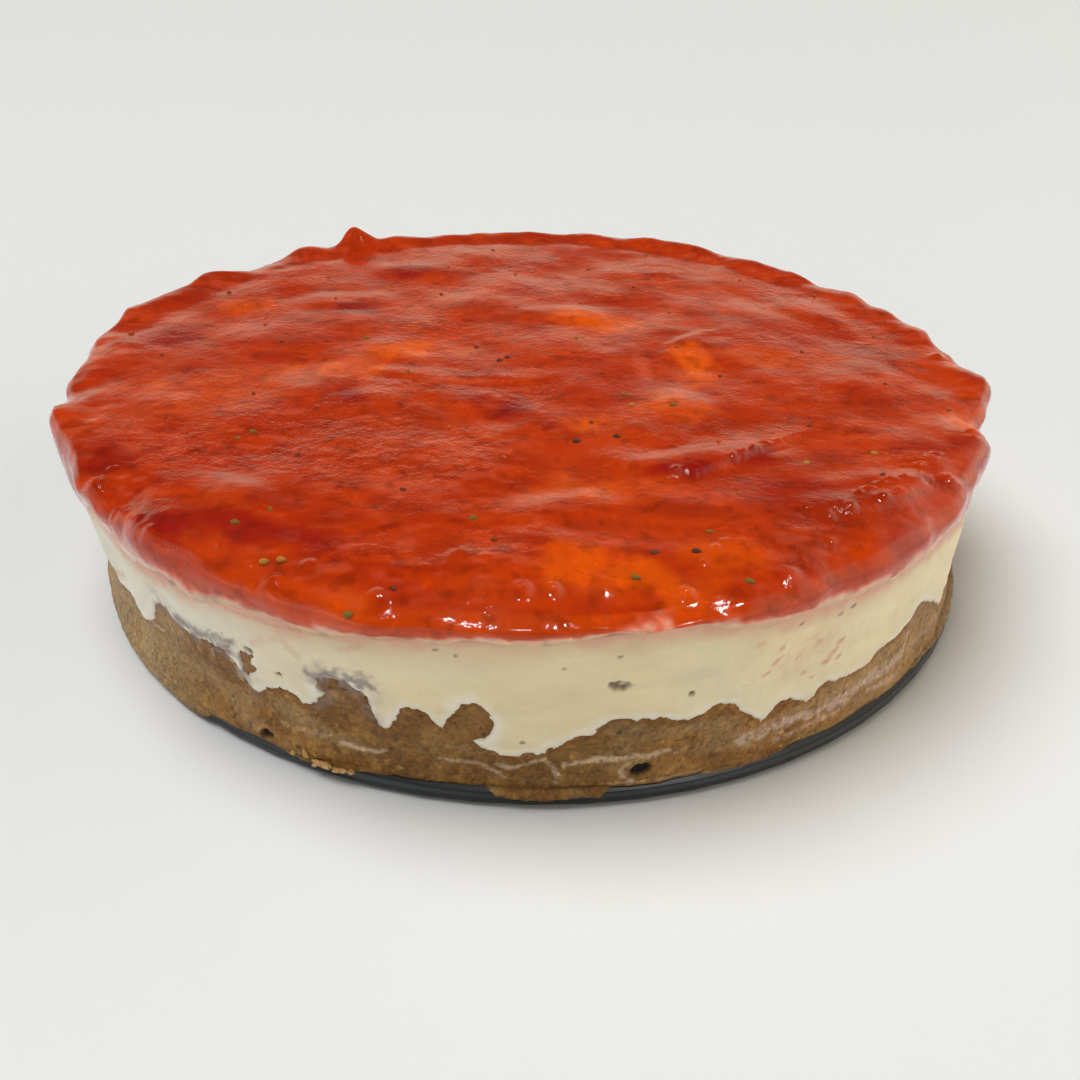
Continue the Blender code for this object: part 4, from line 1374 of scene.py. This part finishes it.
# %% [markdown]
# Under the wet skin lie soft pulp and pieces of fruit. Pulp makes the surface roll at five millimetres,
# and the skin wrinkles at two. The points move along the surface's own direction, so the edge grows lumpy
# as well as the top.
#
# The colour goes on in coats, from the red of the jelly to the patches of orange, crimson and dull fruit.
# Pale pink patches, and fine pink streaks where the skin is rippled, are painted reflection, and the low
# part of the rim is painted lighter as painted light. At its rim the jelly is so thin that the cream
# shines through it, so it fades to pink and then almost to cream.

# %% Pulp and colour of the topping
PULP_DEPTH = 0.13 * MM
EDGE_PULP_DEPTH = 0.42 * MM
WRINKLE_DEPTH = 0.08 * MM
# where the wet skin is most wrinkled: place across and along, half length, half width, turn
MOST_RIPPLED = (-28.0, -42.0, 36.0, 22.0, -8.0)


def surface_directions(points, faces):
    """The direction in which the surface faces, at each point."""
    mesh = bpy.data.meshes.new("measure")
    mesh.from_pydata(points.tolist(), [], faces)
    directions = np.empty(len(points) * 3, dtype=np.float32)
    mesh.vertex_normals.foreach_get("vector", directions)
    bpy.data.meshes.remove(mesh)
    return directions.reshape(-1, 3).astype(float)


print("pulp moves the surface by up to %.2f mm" % (EDGE_PULP_DEPTH / MM))

# %% Uneven skin of the topping
facing = surface_directions(topping_points, topping_faces)
pulp = 0.55 * cloud(topping_points, 7.0 * MM, 71) + 0.45 * cloud(topping_points, 3.6 * MM, 72)
wrinkle = 0.6 * cloud(topping_points, 2.6 * MM, 73) + 0.4 * cloud(topping_points, 1.7 * MM, 74)
from_ripples = topping_points[:, :2] / MM - MOST_RIPPLED[:2]
most_rippled = within(from_ripples[:, 0], from_ripples[:, 1], *MOST_RIPPLED[2:])
rippled = 0.3 + 0.7 * cloud(topping_points, 15.0 * MM, 85) + 0.4 * cloud(topping_points, 6.0 * MM, 86)
rippled = blend(rippled + 0.9 * blend(1.5 * most_rippled))
at_edge = blend((np.hypot(topping_points[:, 0], topping_points[:, 1]) / MM - 78.0) / 10.0)
push = (PULP_DEPTH + (EDGE_PULP_DEPTH - PULP_DEPTH) * at_edge) * pulp
push = push + WRINKLE_DEPTH * wrinkle * (0.4 + 0.6 * rippled + 0.7 * at_edge)
push = push - 0.15 * MM * at_edge
push[rings[-1]] = 0.0
push[-1] = 0.0
topping_points = topping_points + facing * push[:, None]
print("the largest push is %.2f mm" % (float(np.abs(push).max()) / MM))

# %% Patches of colour
# place across and along, half length, half width, turn in degrees, strength
ORANGE = (
    (34, 0, 7, 13, 8, 1), (29, -22, 8, 9, 8, 0.7), (11, -31, 9, 5, 0, 0.9), (-27, 4, 13, 7, 12, 1),
    (-38, -6, 12, 7, -10, 0.8), (84, -26, 5, 8, 0, 0.9), (14, 24, 15, 8, 0, 1), (88, -33, 3, 6, 0, 0.8),
    (7, -79, 9, 7, 0, 0.9), (18, -82, 12, 6, 0, 0.8), (12, -55, 18, 7, 0, 0.5),
    (-58, -20, 20, 14, 20, 0.35), (52, 4, 16, 9, 0, 0.45), (-66, 30, 12, 8, 0, 0.5),
    (30, -75, 11, 6, 4, 0.5), (-26, -88, 8, 4, 0, 0.35),
)
CRIMSON = (
    (-10, -19, 8, 6, -20, 0.8), (-2.5, -24, 7, 9, 20, 1), (-34, -20, 4.5, 5, 0, 1),
    (-41, 29, 12, 7, -6, 1), (-40, -70, 15, 4.5, -12, 0.85), (-31, -75, 6, 4, 0, 0.5),
    (26, -49.5, 10, 3, 5, 1), (40, -43.5, 8, 3, 34, 0.9), (-31, 56, 6, 7, 0, 0.9),
    (-76, 10, 8, 10, 10, 0.8), (93, -6, 4, 6, 0, 0.6), (-56, -68, 10, 6, -35, 1),
    (-72, -48, 6, 9, 10, 0.6), (44, -56, 10, 6, 10, 0.5), (76, 6, 8, 12, 30, 0.5),
    (62, -66, 9, 4, 30, 0.6), (8, 52, 12, 6, 0, 0.4), (72, -38, 8, 5, 0, 0.6),
)
# painted reflection: pale pink haze of mirrored light, in patches: place across and along, half length,
# half width, turn, strength
PAINTED_HAZE = (
    (-20, -56, 12, 3, -4, 0.5), (24, -2, 2.2, 9, 6, 0.6), (6, -58, 9, 3, 0, 0.4),
    (13, -73, 5, 1.6, 4, 0.7), (-42, -84, 8, 3, -30, 0.6), (30, -58, 12, 3, 0, 0.4),
    (-14, -12, 10, 2, 0, 0.5), (84, -46, 4, 9, -10, 0.5), (36, -36, 10, 3, 10, 0.4),
)
# duller, darker fruit
DULL = (
    (52, -43, 16, 6, 12, 0.9), (50, -60, 15, 8, 14, 0.9), (-10, -76, 9, 4, 0, 0.6),
    (36, -30, 10, 4, 10, 0.6), (-30, -36, 22, 12, -6, 0.5), (22, -62, 12, 3.5, 6, 0.6),
    (-18, -64, 14, 3, -4, 0.6), (66, -20, 12, 8, 30, 0.5),
)
# places where small drops of juice sparkle
SPARKLE = (
    (27, -49.5, 6, 2, 8, 1), (38, -43, 6, 2.5, 35, 1), (52, -61, 7, 3, 10, 1), (62, -56, 4, 2, 20, 1),
    (83, -31, 4, 5, 0, 1), (71, -49, 5, 3, 20, 0.7), (-71, -55, 3, 4, 0, 1), (-52, -74, 5, 3, -30, 0.8),
    (-58, -62, 4, 2, -20, 0.8), (-3, -84, 7, 4, 0, 0.8), (63, -60, 5, 4, 30, 0.8),
    (38, -76, 6, 4, 10, 0.7), (88, 6, 4, 6, 0, 0.7), (40, -68, 9, 4, 0, 0.35), (-5, -10, 10, 2, 0, 0.6),
    (48, -30, 14, 6, 20, 0.3), (-14, -52, 14, 5, 0, 0.35),
)


def patch_cover(x, y, patches, seed):
    """How strongly patches of colour cover each point of the topping."""
    place = np.stack([x, y, np.zeros_like(x)], axis=-1)
    shake = 0.4 * cloud(place, 6.0 * MM, seed) + 0.22 * cloud(place, 2.4 * MM, seed + 1)
    cover = np.zeros_like(x)
    for across, along, half_length, half_width, turned, strength in patches:
        inside = within(x / MM - across, y / MM - along, half_length, half_width, turned) + shake
        cover = np.maximum(cover, strength * blend(inside / 0.8))
    return cover


print("patches of colour:", sum(len(patches) for patches in (ORANGE, CRIMSON, PAINTED_HAZE, DULL)))

# %% Where the jelly is thin
x, y, z = topping_points.T
sparkle = patch_cover(x, y, SPARKLE, 95)
drift = 0.5 + 0.5 * cloud(topping_points, 17.0 * MM, 75)
drawn_out = topping_points * (0.45, 1.0, 1.0)
outward = np.hypot(x, y)
point_angle = np.degrees(np.arctan2(y, x)) % 360.0
above_foot = (z - hem_height(point_angle)) / MM
at_rim = outward > WALL_HEAD_RADIUS - 1.5 * MM
shaken = 0.9 + 0.7 * cloud(topping_points, 4.0 * MM, 81) + 0.5 * cloud(topping_points, 1.4 * MM, 82)
hem_width = np.maximum(1.1 * profile(point_angle, FROTH) * shaken, 0.6)
thin = np.where(at_rim, blend(1.0 - above_foot / hem_width), 0.0)
# painted light: the low part of the rim, which gets less light from above, is painted brighter
rim_light_lift = np.where(at_rim, blend(1.4 - above_foot / 5.0), 0.0)
print("share of points where the jelly is thin: %.2f" % float((thin > 0.5).mean()))

# %% The topping as one piece
topping_tint = painted(
    BERRY_RED,
    (BERRY_ORANGE, 0.6 * blend(drift)),
    (BERRY_DARK, 0.55 * blend(cloud(drawn_out, 4.5 * MM, 76) * 1.6)),
    (BERRY_ORANGE, 0.4 * blend(cloud(drawn_out, 3.0 * MM, 87) * 1.6)),
    (BERRY_DARK, (0.25 + 0.35 * rippled) * blend(cloud(drawn_out, 1.5 * MM, 89) * 2.2)),
    # painted reflection: fine pink streaks where the wet skin is rippled
    (PINK_JELLY_AND_HAZE, (0.05 + 0.25 * rippled) * blend(cloud(drawn_out, 1.3 * MM, 97) * 2.4 - 0.3)),
    (BERRY_DARK, 0.8 * patch_cover(x, y, DULL, 98)),
    (BERRY_BRIGHT, 0.85 * patch_cover(x, y, ORANGE, 77)),
    (BERRY_CRIMSON, 0.85 * patch_cover(x, y, CRIMSON, 79)),
    # painted reflection: the pale haze patches
    (PINK_JELLY_AND_HAZE, 0.6 * patch_cover(x, y, PAINTED_HAZE, 88)),
    # painted light: the low rim painted brighter
    (BERRY_BRIGHT, 0.3 * rim_light_lift),
    (PINK_JELLY_AND_HAZE, 0.85 * blend(1.7 * thin)),
    (THIN_JELLY, blend(2.0 * thin - 0.7)),
    (CREAM_BLUSH, np.where(at_rim, blend(0.9 - 0.6 * above_foot), 0.0)),
)
topping_piece = make_piece(
    "fruit_topping",
    inside_box(lean_over(topping_points)),
    topping_faces,
    TOPPING_LOOK,
    tint=topping_tint,
    masks={"rippled": (0.35 + 0.65 * rippled) * (1.0 - 0.4 * at_edge) + 0.9 * sparkle},
)
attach(topping_piece, "root")
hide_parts("topping")
print("topping: %d triangles" % triangles(topping_piece))

# %% [markdown]
# ## Seeds
#
# Strawberry seeds lie in the skin of the fruit and come loose in the jelly. Each is a small drop, pointed
# at one end, and amber, brown, green or nearly black. They are sunk to about half their height. All of
# them are one mesh, because they lie still and look alike.

# %% Seeds
SEED_COUNT = 52
SEED_LENGTH = 1.7 * MM
SEED_WIDTH = 1.15 * MM
SEED_SINK = 0.08 * MM
SEED_FIELD_RADIUS = 85.0 * MM
SEED_SHAKE = 5.0 * MM
SEED_DRAW = 21
COLOUR_DRAW = 4
SPIRAL_SEED_SIZE = 0.75
PLAIN_SEED_SIZE = 0.95
GOLDEN_ANGLE = math.pi * (3.0 - math.sqrt(5.0))
SEED_GREEN = screen_colour(124, 92, 14)
SEED_YELLOW = screen_colour(176, 118, 36)
SEED_BROWN = screen_colour(104, 40, 12)
SEED_AMBER = screen_colour(176, 74, 18)
SEED_BLACK = screen_colour(78, 30, 12)

# seeds that are seen plainly: place across and along in millimetres, colour
PLAIN_SEEDS = (
    (16.8, -36.4, SEED_BLACK), (9.5, -38, SEED_BLACK), (26.5, -75, SEED_BLACK), (20.2, -75.5, SEED_BROWN),
    (-24, -88.6, SEED_GREEN), (-48.6, -36.6, SEED_GREEN), (49.3, -44.8, SEED_YELLOW),
    (62.3, -40.4, SEED_YELLOW), (19.5, -17.3, SEED_GREEN), (20.5, -22.4, SEED_YELLOW),
    (28.2, -23.9, SEED_GREEN), (-44, -68.9, SEED_GREEN), (-35.3, -77.5, SEED_YELLOW),
    (-37.9, -77.6, SEED_YELLOW), (-3.9, 0.5, SEED_BROWN), (-5.5, -1.2, SEED_BLACK),
    (-7.5, -66.3, SEED_GREEN), (16.9, -81.1, SEED_GREEN), (33.5, -81.1, SEED_GREEN),
)
print("seeds on the spiral: %d, seeds in places of their own: %d" % (SEED_COUNT, len(PLAIN_SEEDS)))

# %% Seed shapes


def ball(subdivisions):
    """The points and triangles of a round ball of radius 1, from which seeds and flakes are shaped."""
    mesh = bmesh.new()
    bmesh.ops.create_icosphere(mesh, subdivisions=subdivisions, radius=1.0)
    points = np.array([vertex.co for vertex in mesh.verts])
    triples = np.array([[vertex.index for vertex in face.verts] for face in mesh.faces])
    mesh.free()
    return points, triples


def seed_places():
    """Most seeds on an even, shaken spiral, then the plain ones; each with a turn, a colour and a size."""
    draw = random.Random(SEED_DRAW)
    tell = random.Random(COLOUR_DRAW)
    places = []
    for count in range(SEED_COUNT):
        reach = SEED_FIELD_RADIUS * math.sqrt((count + 0.5) / SEED_COUNT)
        across = reach * math.cos(count * GOLDEN_ANGLE) + draw.uniform(-SEED_SHAKE, SEED_SHAKE)
        along = reach * math.sin(count * GOLDEN_ANGLE) + draw.uniform(-SEED_SHAKE, SEED_SHAKE)
        turned = draw.uniform(0.0, math.pi)
        colour = tell.choice((SEED_AMBER, SEED_AMBER, SEED_BROWN, SEED_GREEN))
        places.append((across, along, turned, colour, SPIRAL_SEED_SIZE))
    for across, along, colour in PLAIN_SEEDS:
        places.append((across * MM, along * MM, tell.uniform(-0.5, 0.5), colour, PLAIN_SEED_SIZE))
    return places


print("a fine ball has %d points" % len(ball(3)[0]))

# %% The seeds as one piece


def seed_mesh(places):
    """All seeds as one mesh of small drops."""
    unit, triples = ball(2)
    points = []
    faces = []
    tints = []
    for across, along, turned, colour, scale in places:
        drop = unit * (SEED_LENGTH / 2.0, SEED_WIDTH / 2.0, SEED_WIDTH / 2.0) * scale
        drop[:, 1] *= 1.0 - 0.35 * unit[:, 0]
        turn = np.array([[math.cos(turned), -math.sin(turned)], [math.sin(turned), math.cos(turned)]])
        drop[:, :2] = drop[:, :2] @ turn.T
        middle = np.array([across, along, float(topping_height(across, along)) - SEED_SINK])
        faces += (triples + len(points) * len(unit)).tolist()
        points.append(drop + middle)
        tints.append(np.tile(colour, (len(unit), 1)))
    return np.concatenate(points), faces, np.concatenate(tints)


seed_points, seed_faces, seed_tints = seed_mesh(seed_places())
seeds = make_piece("strawberry_seeds", lean_over(seed_points), seed_faces, SEED_LOOK, tint=seed_tints)
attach(seeds, "root")
print("seeds: %d, %d triangles" % (SEED_COUNT + len(PLAIN_SEEDS), triangles(seeds)))

# %% [markdown]
# ## The tin base
#
# The tin base keeps its own solid, because rolled sheet metal has a plain, even form. Its sheet has a
# dark blue-grey coat, with fine lines that run round it from the way it was spun: a noise that only knows
# how far out and how high a point is looks the same all the way round.

# %% Tin material
TIN_LOOK, tin_shader = new_material("coated_tin", Metallic=0.7, Roughness=0.42)
tree = TIN_LOOK.node_tree
place = tree.nodes.new("ShaderNodeTexCoord")
split = tree.nodes.new("ShaderNodeSeparateXYZ")
across_squared = maths_node(tree, "MULTIPLY")
both_squared = maths_node(tree, "MULTIPLY_ADD")
outward = maths_node(tree, "SQRT")
ring_place = tree.nodes.new("ShaderNodeCombineXYZ")
ring_noise = tree.nodes.new("ShaderNodeTexNoise")
ring_noise.inputs["Scale"].default_value = 1100.0
ring_noise.inputs["Detail"].default_value = 2.0
tin_ramp = tree.nodes.new("ShaderNodeValToRGB")
tin_ramp.color_ramp.elements[0].position = 0.35
tin_ramp.color_ramp.elements[0].color = (*screen_colour(34, 35, 36), 1.0)
tin_ramp.color_ramp.elements[1].position = 0.7
tin_ramp.color_ramp.elements[1].color = (*screen_colour(66, 70, 74), 1.0)
join(
    tree,
    (place, "Object", split, "Vector"),
    (split, "X", across_squared, 0),
    (split, "X", across_squared, 1),
    (split, "Y", both_squared, 0),
    (split, "Y", both_squared, 1),
    (across_squared, "Value", both_squared, 2),
    (both_squared, "Value", outward, 0),
    (outward, "Value", ring_place, "X"),
    (split, "Z", ring_place, "Y"),
    (ring_place, "Vector", ring_noise, "Vector"),
    (ring_noise, "Fac", tin_ramp, "Fac"),
    (tin_ramp, "Color", tin_shader, "Base Color"),
)
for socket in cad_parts["tin_base"].material_slots:
    socket.material = TIN_LOOK
print("tin base wears", TIN_LOOK.name)

# %% [markdown]
# ## Crumbs over the rolled edge
#
# At the foot of the wall, crumbs stick to the tin's rolled edge and hang over it in places. A strip of
# packed crumb follows the edge: it stands out where crumbs lie and dives into the metal elsewhere. Single
# crumbs could be strewn instead, but pressed crumb lies as one crust.

# %% Crumb on the tin's edge
ROLL_MIDDLE_RADIUS = EDGE_RADIUS - ROLL_RADIUS
ROLL_MIDDLE_HEIGHT = LEDGE_TOP - ROLL_RADIUS
LEDGE_DEPTH = 1.6 * MM
EDGE_TURNS = np.linspace(130.0, -75.0, 22)
COVER_SUNK = 0.35 * MM
COVER_RISE = 0.8 * MM

# how far down the rolled edge crumbs reach: angle round the cake, angle on the roll, which is 90 on top and
# 0 where the roll stands out furthest
COVER_LINE = (
    (180, -60), (226, -60), (231, -50), (233, 20), (234, 62), (236, 80), (237, 94), (240.6, 94),
    (242.4, 44), (246, 22), (249, 18), (251.5, 26), (252.5, 60), (256, 84), (262, 96), (265.4, 92),
    (266.6, 24), (271, 14), (276.8, 26), (278.2, 90), (280, 93), (287, 90), (290, 66), (294.6, 66),
    (297, 76), (299, 95), (304, 100), (309, 92), (313, 84), (318, 80), (322, 68), (328, 42), (333, 30),
    (350, 20), (380, 40), (420, 70), (460, 30), (500, 0), (540, -60),
)
# the left one of the two deep pits cuts into the crust: both of its angles and half its size in both
CRUST_HOLE = (241.6, 106.0, 1.6, 20.0)


print("rows of points over the rolled edge:", len(EDGE_TURNS))

# %% The crust as one piece


def edge_cover(angle, edge_turn, place):
    """How strongly crumbs cover the tin's rolled edge."""
    shake = 9.0 * cloud(place, 2.4 * MM, 91) + 6.0 * cloud(place, 0.9 * MM, 92)
    cover = blend((edge_turn - profile(angle, COVER_LINE) + shake) / 14.0 + 0.5)
    hole_angle, hole_turn, half_length, half_height = CRUST_HOLE
    aside = turned_from(180.0, angle) - hole_angle
    hole = within(aside, edge_turn - hole_turn, half_length, half_height, 0.0)
    return cover * (1.0 - blend(hole / 0.3))


angle_grid, turn_grid = np.meshgrid(WALL_ANGLES, EDGE_TURNS)
on_ledge = np.clip((turn_grid - 90.0) / 40.0, 0.0, 1.0)
roll_turn = np.radians(np.minimum(turn_grid, 90.0))
face_out = np.cos(roll_turn)
face_up = np.sin(roll_turn)
roll_out = ROLL_MIDDLE_RADIUS + ROLL_RADIUS * face_out - LEDGE_DEPTH * on_ledge
roll_up = ROLL_MIDDLE_HEIGHT + ROLL_RADIUS * face_up
edge_place = on_wall(roll_out, angle_grid, roll_up)
cover = edge_cover(angle_grid, turn_grid, edge_place)
thinner_below = np.clip((turn_grid + 95.0) / 60.0, 0.0, 1.0)
thickness = (COVER_RISE * thinner_below + crumb_relief(edge_place)) * cover - COVER_SUNK
cover_up = np.maximum(roll_up + thickness * face_up, 0.1 * MM)
cover_wall = on_wall(roll_out + thickness * face_out, angle_grid, cover_up)
cover_core = on_wall(ROLL_MIDDLE_RADIUS - 0.9 * MM, WALL_ANGLES, ROLL_MIDDLE_HEIGHT)
cover_rings = np.concatenate([cover_wall[::-1], cover_core[None], cover_wall[-1:]])
cover_points = cover_rings[:-1].reshape(-1, 3)
cover_faces = np.array(ring_faces(len(cover_rings), len(WALL_ANGLES))) % len(cover_points)
# painted shadow: in front, the crust is painted darker in a line along the foot of the wall, where the
# wall's shadow falls
foot_shade = blend(1.0 - np.abs(turn_grid - 82.0) / 16.0) * blend((12.0 - np.abs(angle_grid - 270.0)) / 3.0)
cover_tint = mix(crumb_colour(edge_place, angle_grid, roll_up), FOOT_SHADE_CRUMB, 0.75 * foot_shade)
cover_tint = np.concatenate([cover_tint[::-1].reshape(-1, 3), np.tile(CRUMB, (len(WALL_ANGLES), 1))])
cover_piece = make_piece("crumbs_on_edge", cover_points, cover_faces.tolist(), CRUMB_LOOK, tint=cover_tint)
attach(cover_piece, "root")
print("crumbs on the tin's edge: %d triangles" % triangles(cover_piece))

# %% [markdown]
# A few flakes of biscuit and single crumbs lie loose on the edge of the tin. Each is a ball, pressed flat
# and then roughened by noise.

# %% Loose crumbs
# angle, radius and height in millimetres, half length, half height and half thickness in millimetres, turn
FLAKES = (
    (246.5, 90.4, 4.1, 0.45, 1, 0.35, 10), (248.6, 90.5, 3.1, 1.7, 0.5, 0.6, -4),
    (250.4, 90.6, 2.9, 1.3, 0.4, 0.5, 6), (247.6, 90.6, 2.6, 0.8, 0.35, 0.4, 20),
    (244.9, 90.4, 3.3, 0.5, 0.4, 0.4, 0), (251.6, 90.4, 3, 0.6, 0.35, 0.4, 0),
    (95, 90.1, 3.3, 0.6, 0.4, 0.4, 0), (20, 90.1, 3.3, 0.5, 0.4, 0.4, 0),
)
print("flakes to shape:", len(FLAKES))

# %% The flakes as one piece


def flake_mesh(places):
    """All flakes as one mesh of rough lumps, each set against the wall."""
    unit, triples = ball(3)
    points = []
    faces = []
    for count, place in enumerate(places):
        angle, radius, height, half_length, half_height, half_thickness, turned = place
        rough = unit * (1.0 + 0.4 * cloud(unit + count, 0.7, 93))[:, None]
        turn = math.radians(turned)
        along = rough[:, 0] * half_length
        up = rough[:, 2] * half_height
        lengthwise = along * math.cos(turn) - up * math.sin(turn)
        upward = height + along * math.sin(turn) + up * math.cos(turn)
        around = math.radians(angle)
        outward = radius + rough[:, 1] * half_thickness
        lump_x = outward * math.cos(around) - lengthwise * math.sin(around)
        lump_y = outward * math.sin(around) + lengthwise * math.cos(around)
        faces += (triples + len(points) * len(unit)).tolist()
        points.append(MM * np.stack([lump_x, lump_y, upward], axis=-1))
    return np.concatenate(points), faces


flake_points, flake_faces = flake_mesh(FLAKES)
flake_tint = mix(FLAKE, CRUMB_LIGHT, 0.5 + 0.5 * cloud(flake_points, 0.8 * MM, 94))
flakes = make_piece("biscuit_flakes", inside_box(flake_points), flake_faces, CRUMB_LOOK, tint=flake_tint)
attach(flakes, "root")
print("flakes: %d, %d triangles" % (len(FLAKES), triangles(flakes)))

# %% [markdown]
# ## Table, light and camera
#
# The cake stands on a pale table. The daylight is a sun as wide as a window, high up and a little to the
# left and behind, so the shadows are soft and faint. It is kept out of mirrored light, because the wet
# topping would show it as one large white spot.
#
# What the topping mirrors is painted on the world instead: a pale warm wall behind the cake, a brighter
# wall on the camera's side with a dark patch in it, warm light from the right and a dark ceiling. Two
# small lamps are seen in mirrored light alone and give the small glints. An image of a real room would do
# the same, but a few soft shares of light are easier to move until the glints and the haze lie where they
# should.

# %% Table
FLOOR_HALF = 16.0
FLOOR_SIGNS = ((-1, -1), (1, -1), (1, 1), (-1, 1))
TABLE_COLOUR = screen_colour(229, 231, 232)
floor_mesh = bpy.data.meshes.new("table")
floor_corners = [(FLOOR_HALF * across, FLOOR_HALF * along, 0.0) for across, along in FLOOR_SIGNS]
floor_mesh.from_pydata(floor_corners, [], [(0, 1, 2, 3)])
TABLE_LOOK = new_material("pale_table", Base_Color=(*TABLE_COLOUR, 1.0), Roughness=0.45)[0]
floor_mesh.materials.append(TABLE_LOOK)
floor = bpy.data.objects.new("table", floor_mesh)
scene.collection.objects.link(floor)
floor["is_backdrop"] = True
print("the table is %.0f m wide" % (2.0 * FLOOR_HALF))

# %% Light of the room
REAR_WALL = (0.80, 0.68, 0.51)
REAR_WALL_TOP = (0.03, 0.03, 0.03)
NEAR_WALL = (1.66, 1.65, 1.58)
CEILING = (0.07, 0.07, 0.07)
RIGHT_SIDE = (1.5, 1.3, 1.0)
DARK_PATCH = (0.1, 0.1, 0.1)

world = bpy.data.worlds.new("bright_room")
world.use_nodes = True
sky = world.node_tree
direction = sky.nodes.new("ShaderNodeTexCoord")
parts = sky.nodes.new("ShaderNodeSeparateXYZ")


def share_between(value, low, high):
    """A soft share from 0 to 1 while a value runs from the low to the high limit."""
    node = sky.nodes.new("ShaderNodeMapRange")
    node.interpolation_type = "SMOOTHSTEP"
    node.inputs["From Min"].default_value = low
    node.inputs["From Max"].default_value = high
    sky.links.new(value, node.inputs["Value"])
    return node.outputs["Result"]


def toward(way, low, high):
    """A soft share that grows as a direction turns toward a given one."""
    node = sky.nodes.new("ShaderNodeVectorMath")
    node.operation = "DOT_PRODUCT"
    node.inputs[1].default_value = way
    join(sky, (direction, "Generated", node, 0))
    return share_between(node.outputs["Value"], low, high)


def upward(low, high):
    """A soft share that grows with the height of a direction."""
    return share_between(parts.outputs["Z"], low, high)


def light_mix(share, first, second):
    """Light that goes from the first to the second; either is a colour or another mix."""
    node = sky.nodes.new("ShaderNodeMix")
    node.data_type = "RGBA"
    sky.links.new(share, node.inputs["Factor"])
    for label, light in (("A", first), ("B", second)):
        if isinstance(light, tuple):
            node.inputs[label].default_value = (*light, 1.0)
        else:
            sky.links.new(light, node.inputs[label])
    return node.outputs["Result"]


join(sky, (direction, "Generated", parts, "Vector"))
rear_light = light_mix(upward(0.16, 0.52), REAR_WALL, REAR_WALL_TOP)
wall_light = light_mix(toward((0.1, -1.0, 0.0), -0.2, 0.7), rear_light, NEAR_WALL)
room_light = light_mix(upward(0.15, 0.66), wall_light, CEILING)
side_light = light_mix(toward((1.0, 0.05, 0.05), 0.4, 0.95), room_light, RIGHT_SIDE)
seen_light = light_mix(toward((0.05, -0.85, 0.5), 0.7, 0.94), side_light, DARK_PATCH)
sky.links.new(seen_light, sky.nodes["Background"].inputs["Color"])
scene.world = world
print("the room is mixed from %d nodes" % len(sky.nodes))

# %% Lamps
TABLE_MIDDLE = (0.0, 0.0, 0.0)
DAYLIGHT_FROM = (-1.0, 0.27, 2.75)
DAYLIGHT_WIDTH = math.radians(46.0)
DAYLIGHT_POWER = 2.62
DAYLIGHT_COLOUR = (0.96, 0.985, 1.0)


def area_light(name, place, target, size, power, colour):
    """A square light that faces a target."""
    light = bpy.data.lights.new(name, "AREA")
    light.size = size
    light.energy = power
    light.color = colour
    lamp = bpy.data.objects.new(name, light)
    lamp.location = place
    lamp.rotation_euler = (Vector(target) - Vector(place)).to_track_quat("-Z", "Y").to_euler()
    scene.collection.objects.link(lamp)
    return lamp


glints = area_light("ceiling_lamp", (-0.1, -0.45, 1.45), TABLE_MIDDLE, 0.08, 3.2, (1.0, 1.0, 1.0))
more_glints = area_light("second_lamp", (0.45, -0.12, 1.45), TABLE_MIDDLE, 0.1, 5.0, (1.0, 0.98, 0.94))
daylight_lamp = bpy.data.lights.new("daylight", "SUN")
daylight_lamp.energy = DAYLIGHT_POWER
daylight_lamp.angle = DAYLIGHT_WIDTH
daylight_lamp.color = DAYLIGHT_COLOUR
daylight = bpy.data.objects.new("daylight", daylight_lamp)
daylight.rotation_euler = Vector(DAYLIGHT_FROM).to_track_quat("Z", "Y").to_euler()
scene.collection.objects.link(daylight)
daylight.visible_glossy = False
glints.visible_diffuse = False
more_glints.visible_diffuse = False

# %% [markdown]
# The camera is held by hand, close to the cake and a little above it. Its distance and lift are shares of
# the cake's reach, and it is rolled by a little more than a degree, because the hand was not quite level.
# Its axes are worked out from the direction ahead, which is clearer than three turns about fixed axes.

# %% Camera
CAKE_REACH = 93.5 * MM
CAMERA_RISE = math.radians(31.5)
CAMERA_TURN = math.radians(0.6)
CAMERA_ROLL = math.radians(1.41)
CAMERA_DISTANCE = 2.66 * CAKE_REACH
CAMERA_LIFT = -0.062 * CAKE_REACH
CAMERA_SIDE = -0.8 * MM

level_share = math.cos(CAMERA_RISE)
camera_height = CAMERA_LIFT + CAMERA_DISTANCE * math.sin(CAMERA_RISE)
camera_place = Vector((CAMERA_SIDE, -CAMERA_DISTANCE * level_share, camera_height))
ahead = Vector(
    (math.sin(CAMERA_TURN) * level_share, math.cos(CAMERA_TURN) * level_share, -math.sin(CAMERA_RISE))
)
level = ahead.cross(Vector((0.0, 0.0, 1.0))).normalized()
upright = level.cross(ahead)
sideways = math.cos(CAMERA_ROLL) * level + math.sin(CAMERA_ROLL) * upright
upwards = math.cos(CAMERA_ROLL) * upright - math.sin(CAMERA_ROLL) * level
lens = bpy.data.cameras.new("hand_held")
lens.sensor_width = 36.0
lens.lens = 36.0
lens.clip_start = 0.01
camera = bpy.data.objects.new("hand_held", lens)
camera_axes = Matrix((sideways, upwards, -ahead)).transposed().to_4x4()
camera.matrix_world = Matrix.Translation(camera_place) @ camera_axes
scene.collection.objects.link(camera)
scene.camera = camera
scene.view_settings.view_transform = "Standard"
print("the camera stands %.0f mm from the middle of the cake" % (camera_place.length / MM))

# %% [markdown]
#
# The finer pieces have to stay inside the box of the solids. Both boxes are written down side by side.

# %% Finish
low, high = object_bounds()
print("box now, low corner:", [round(value, 4) for value in low])
print("box now, high corner:", [round(value, 4) for value in high])
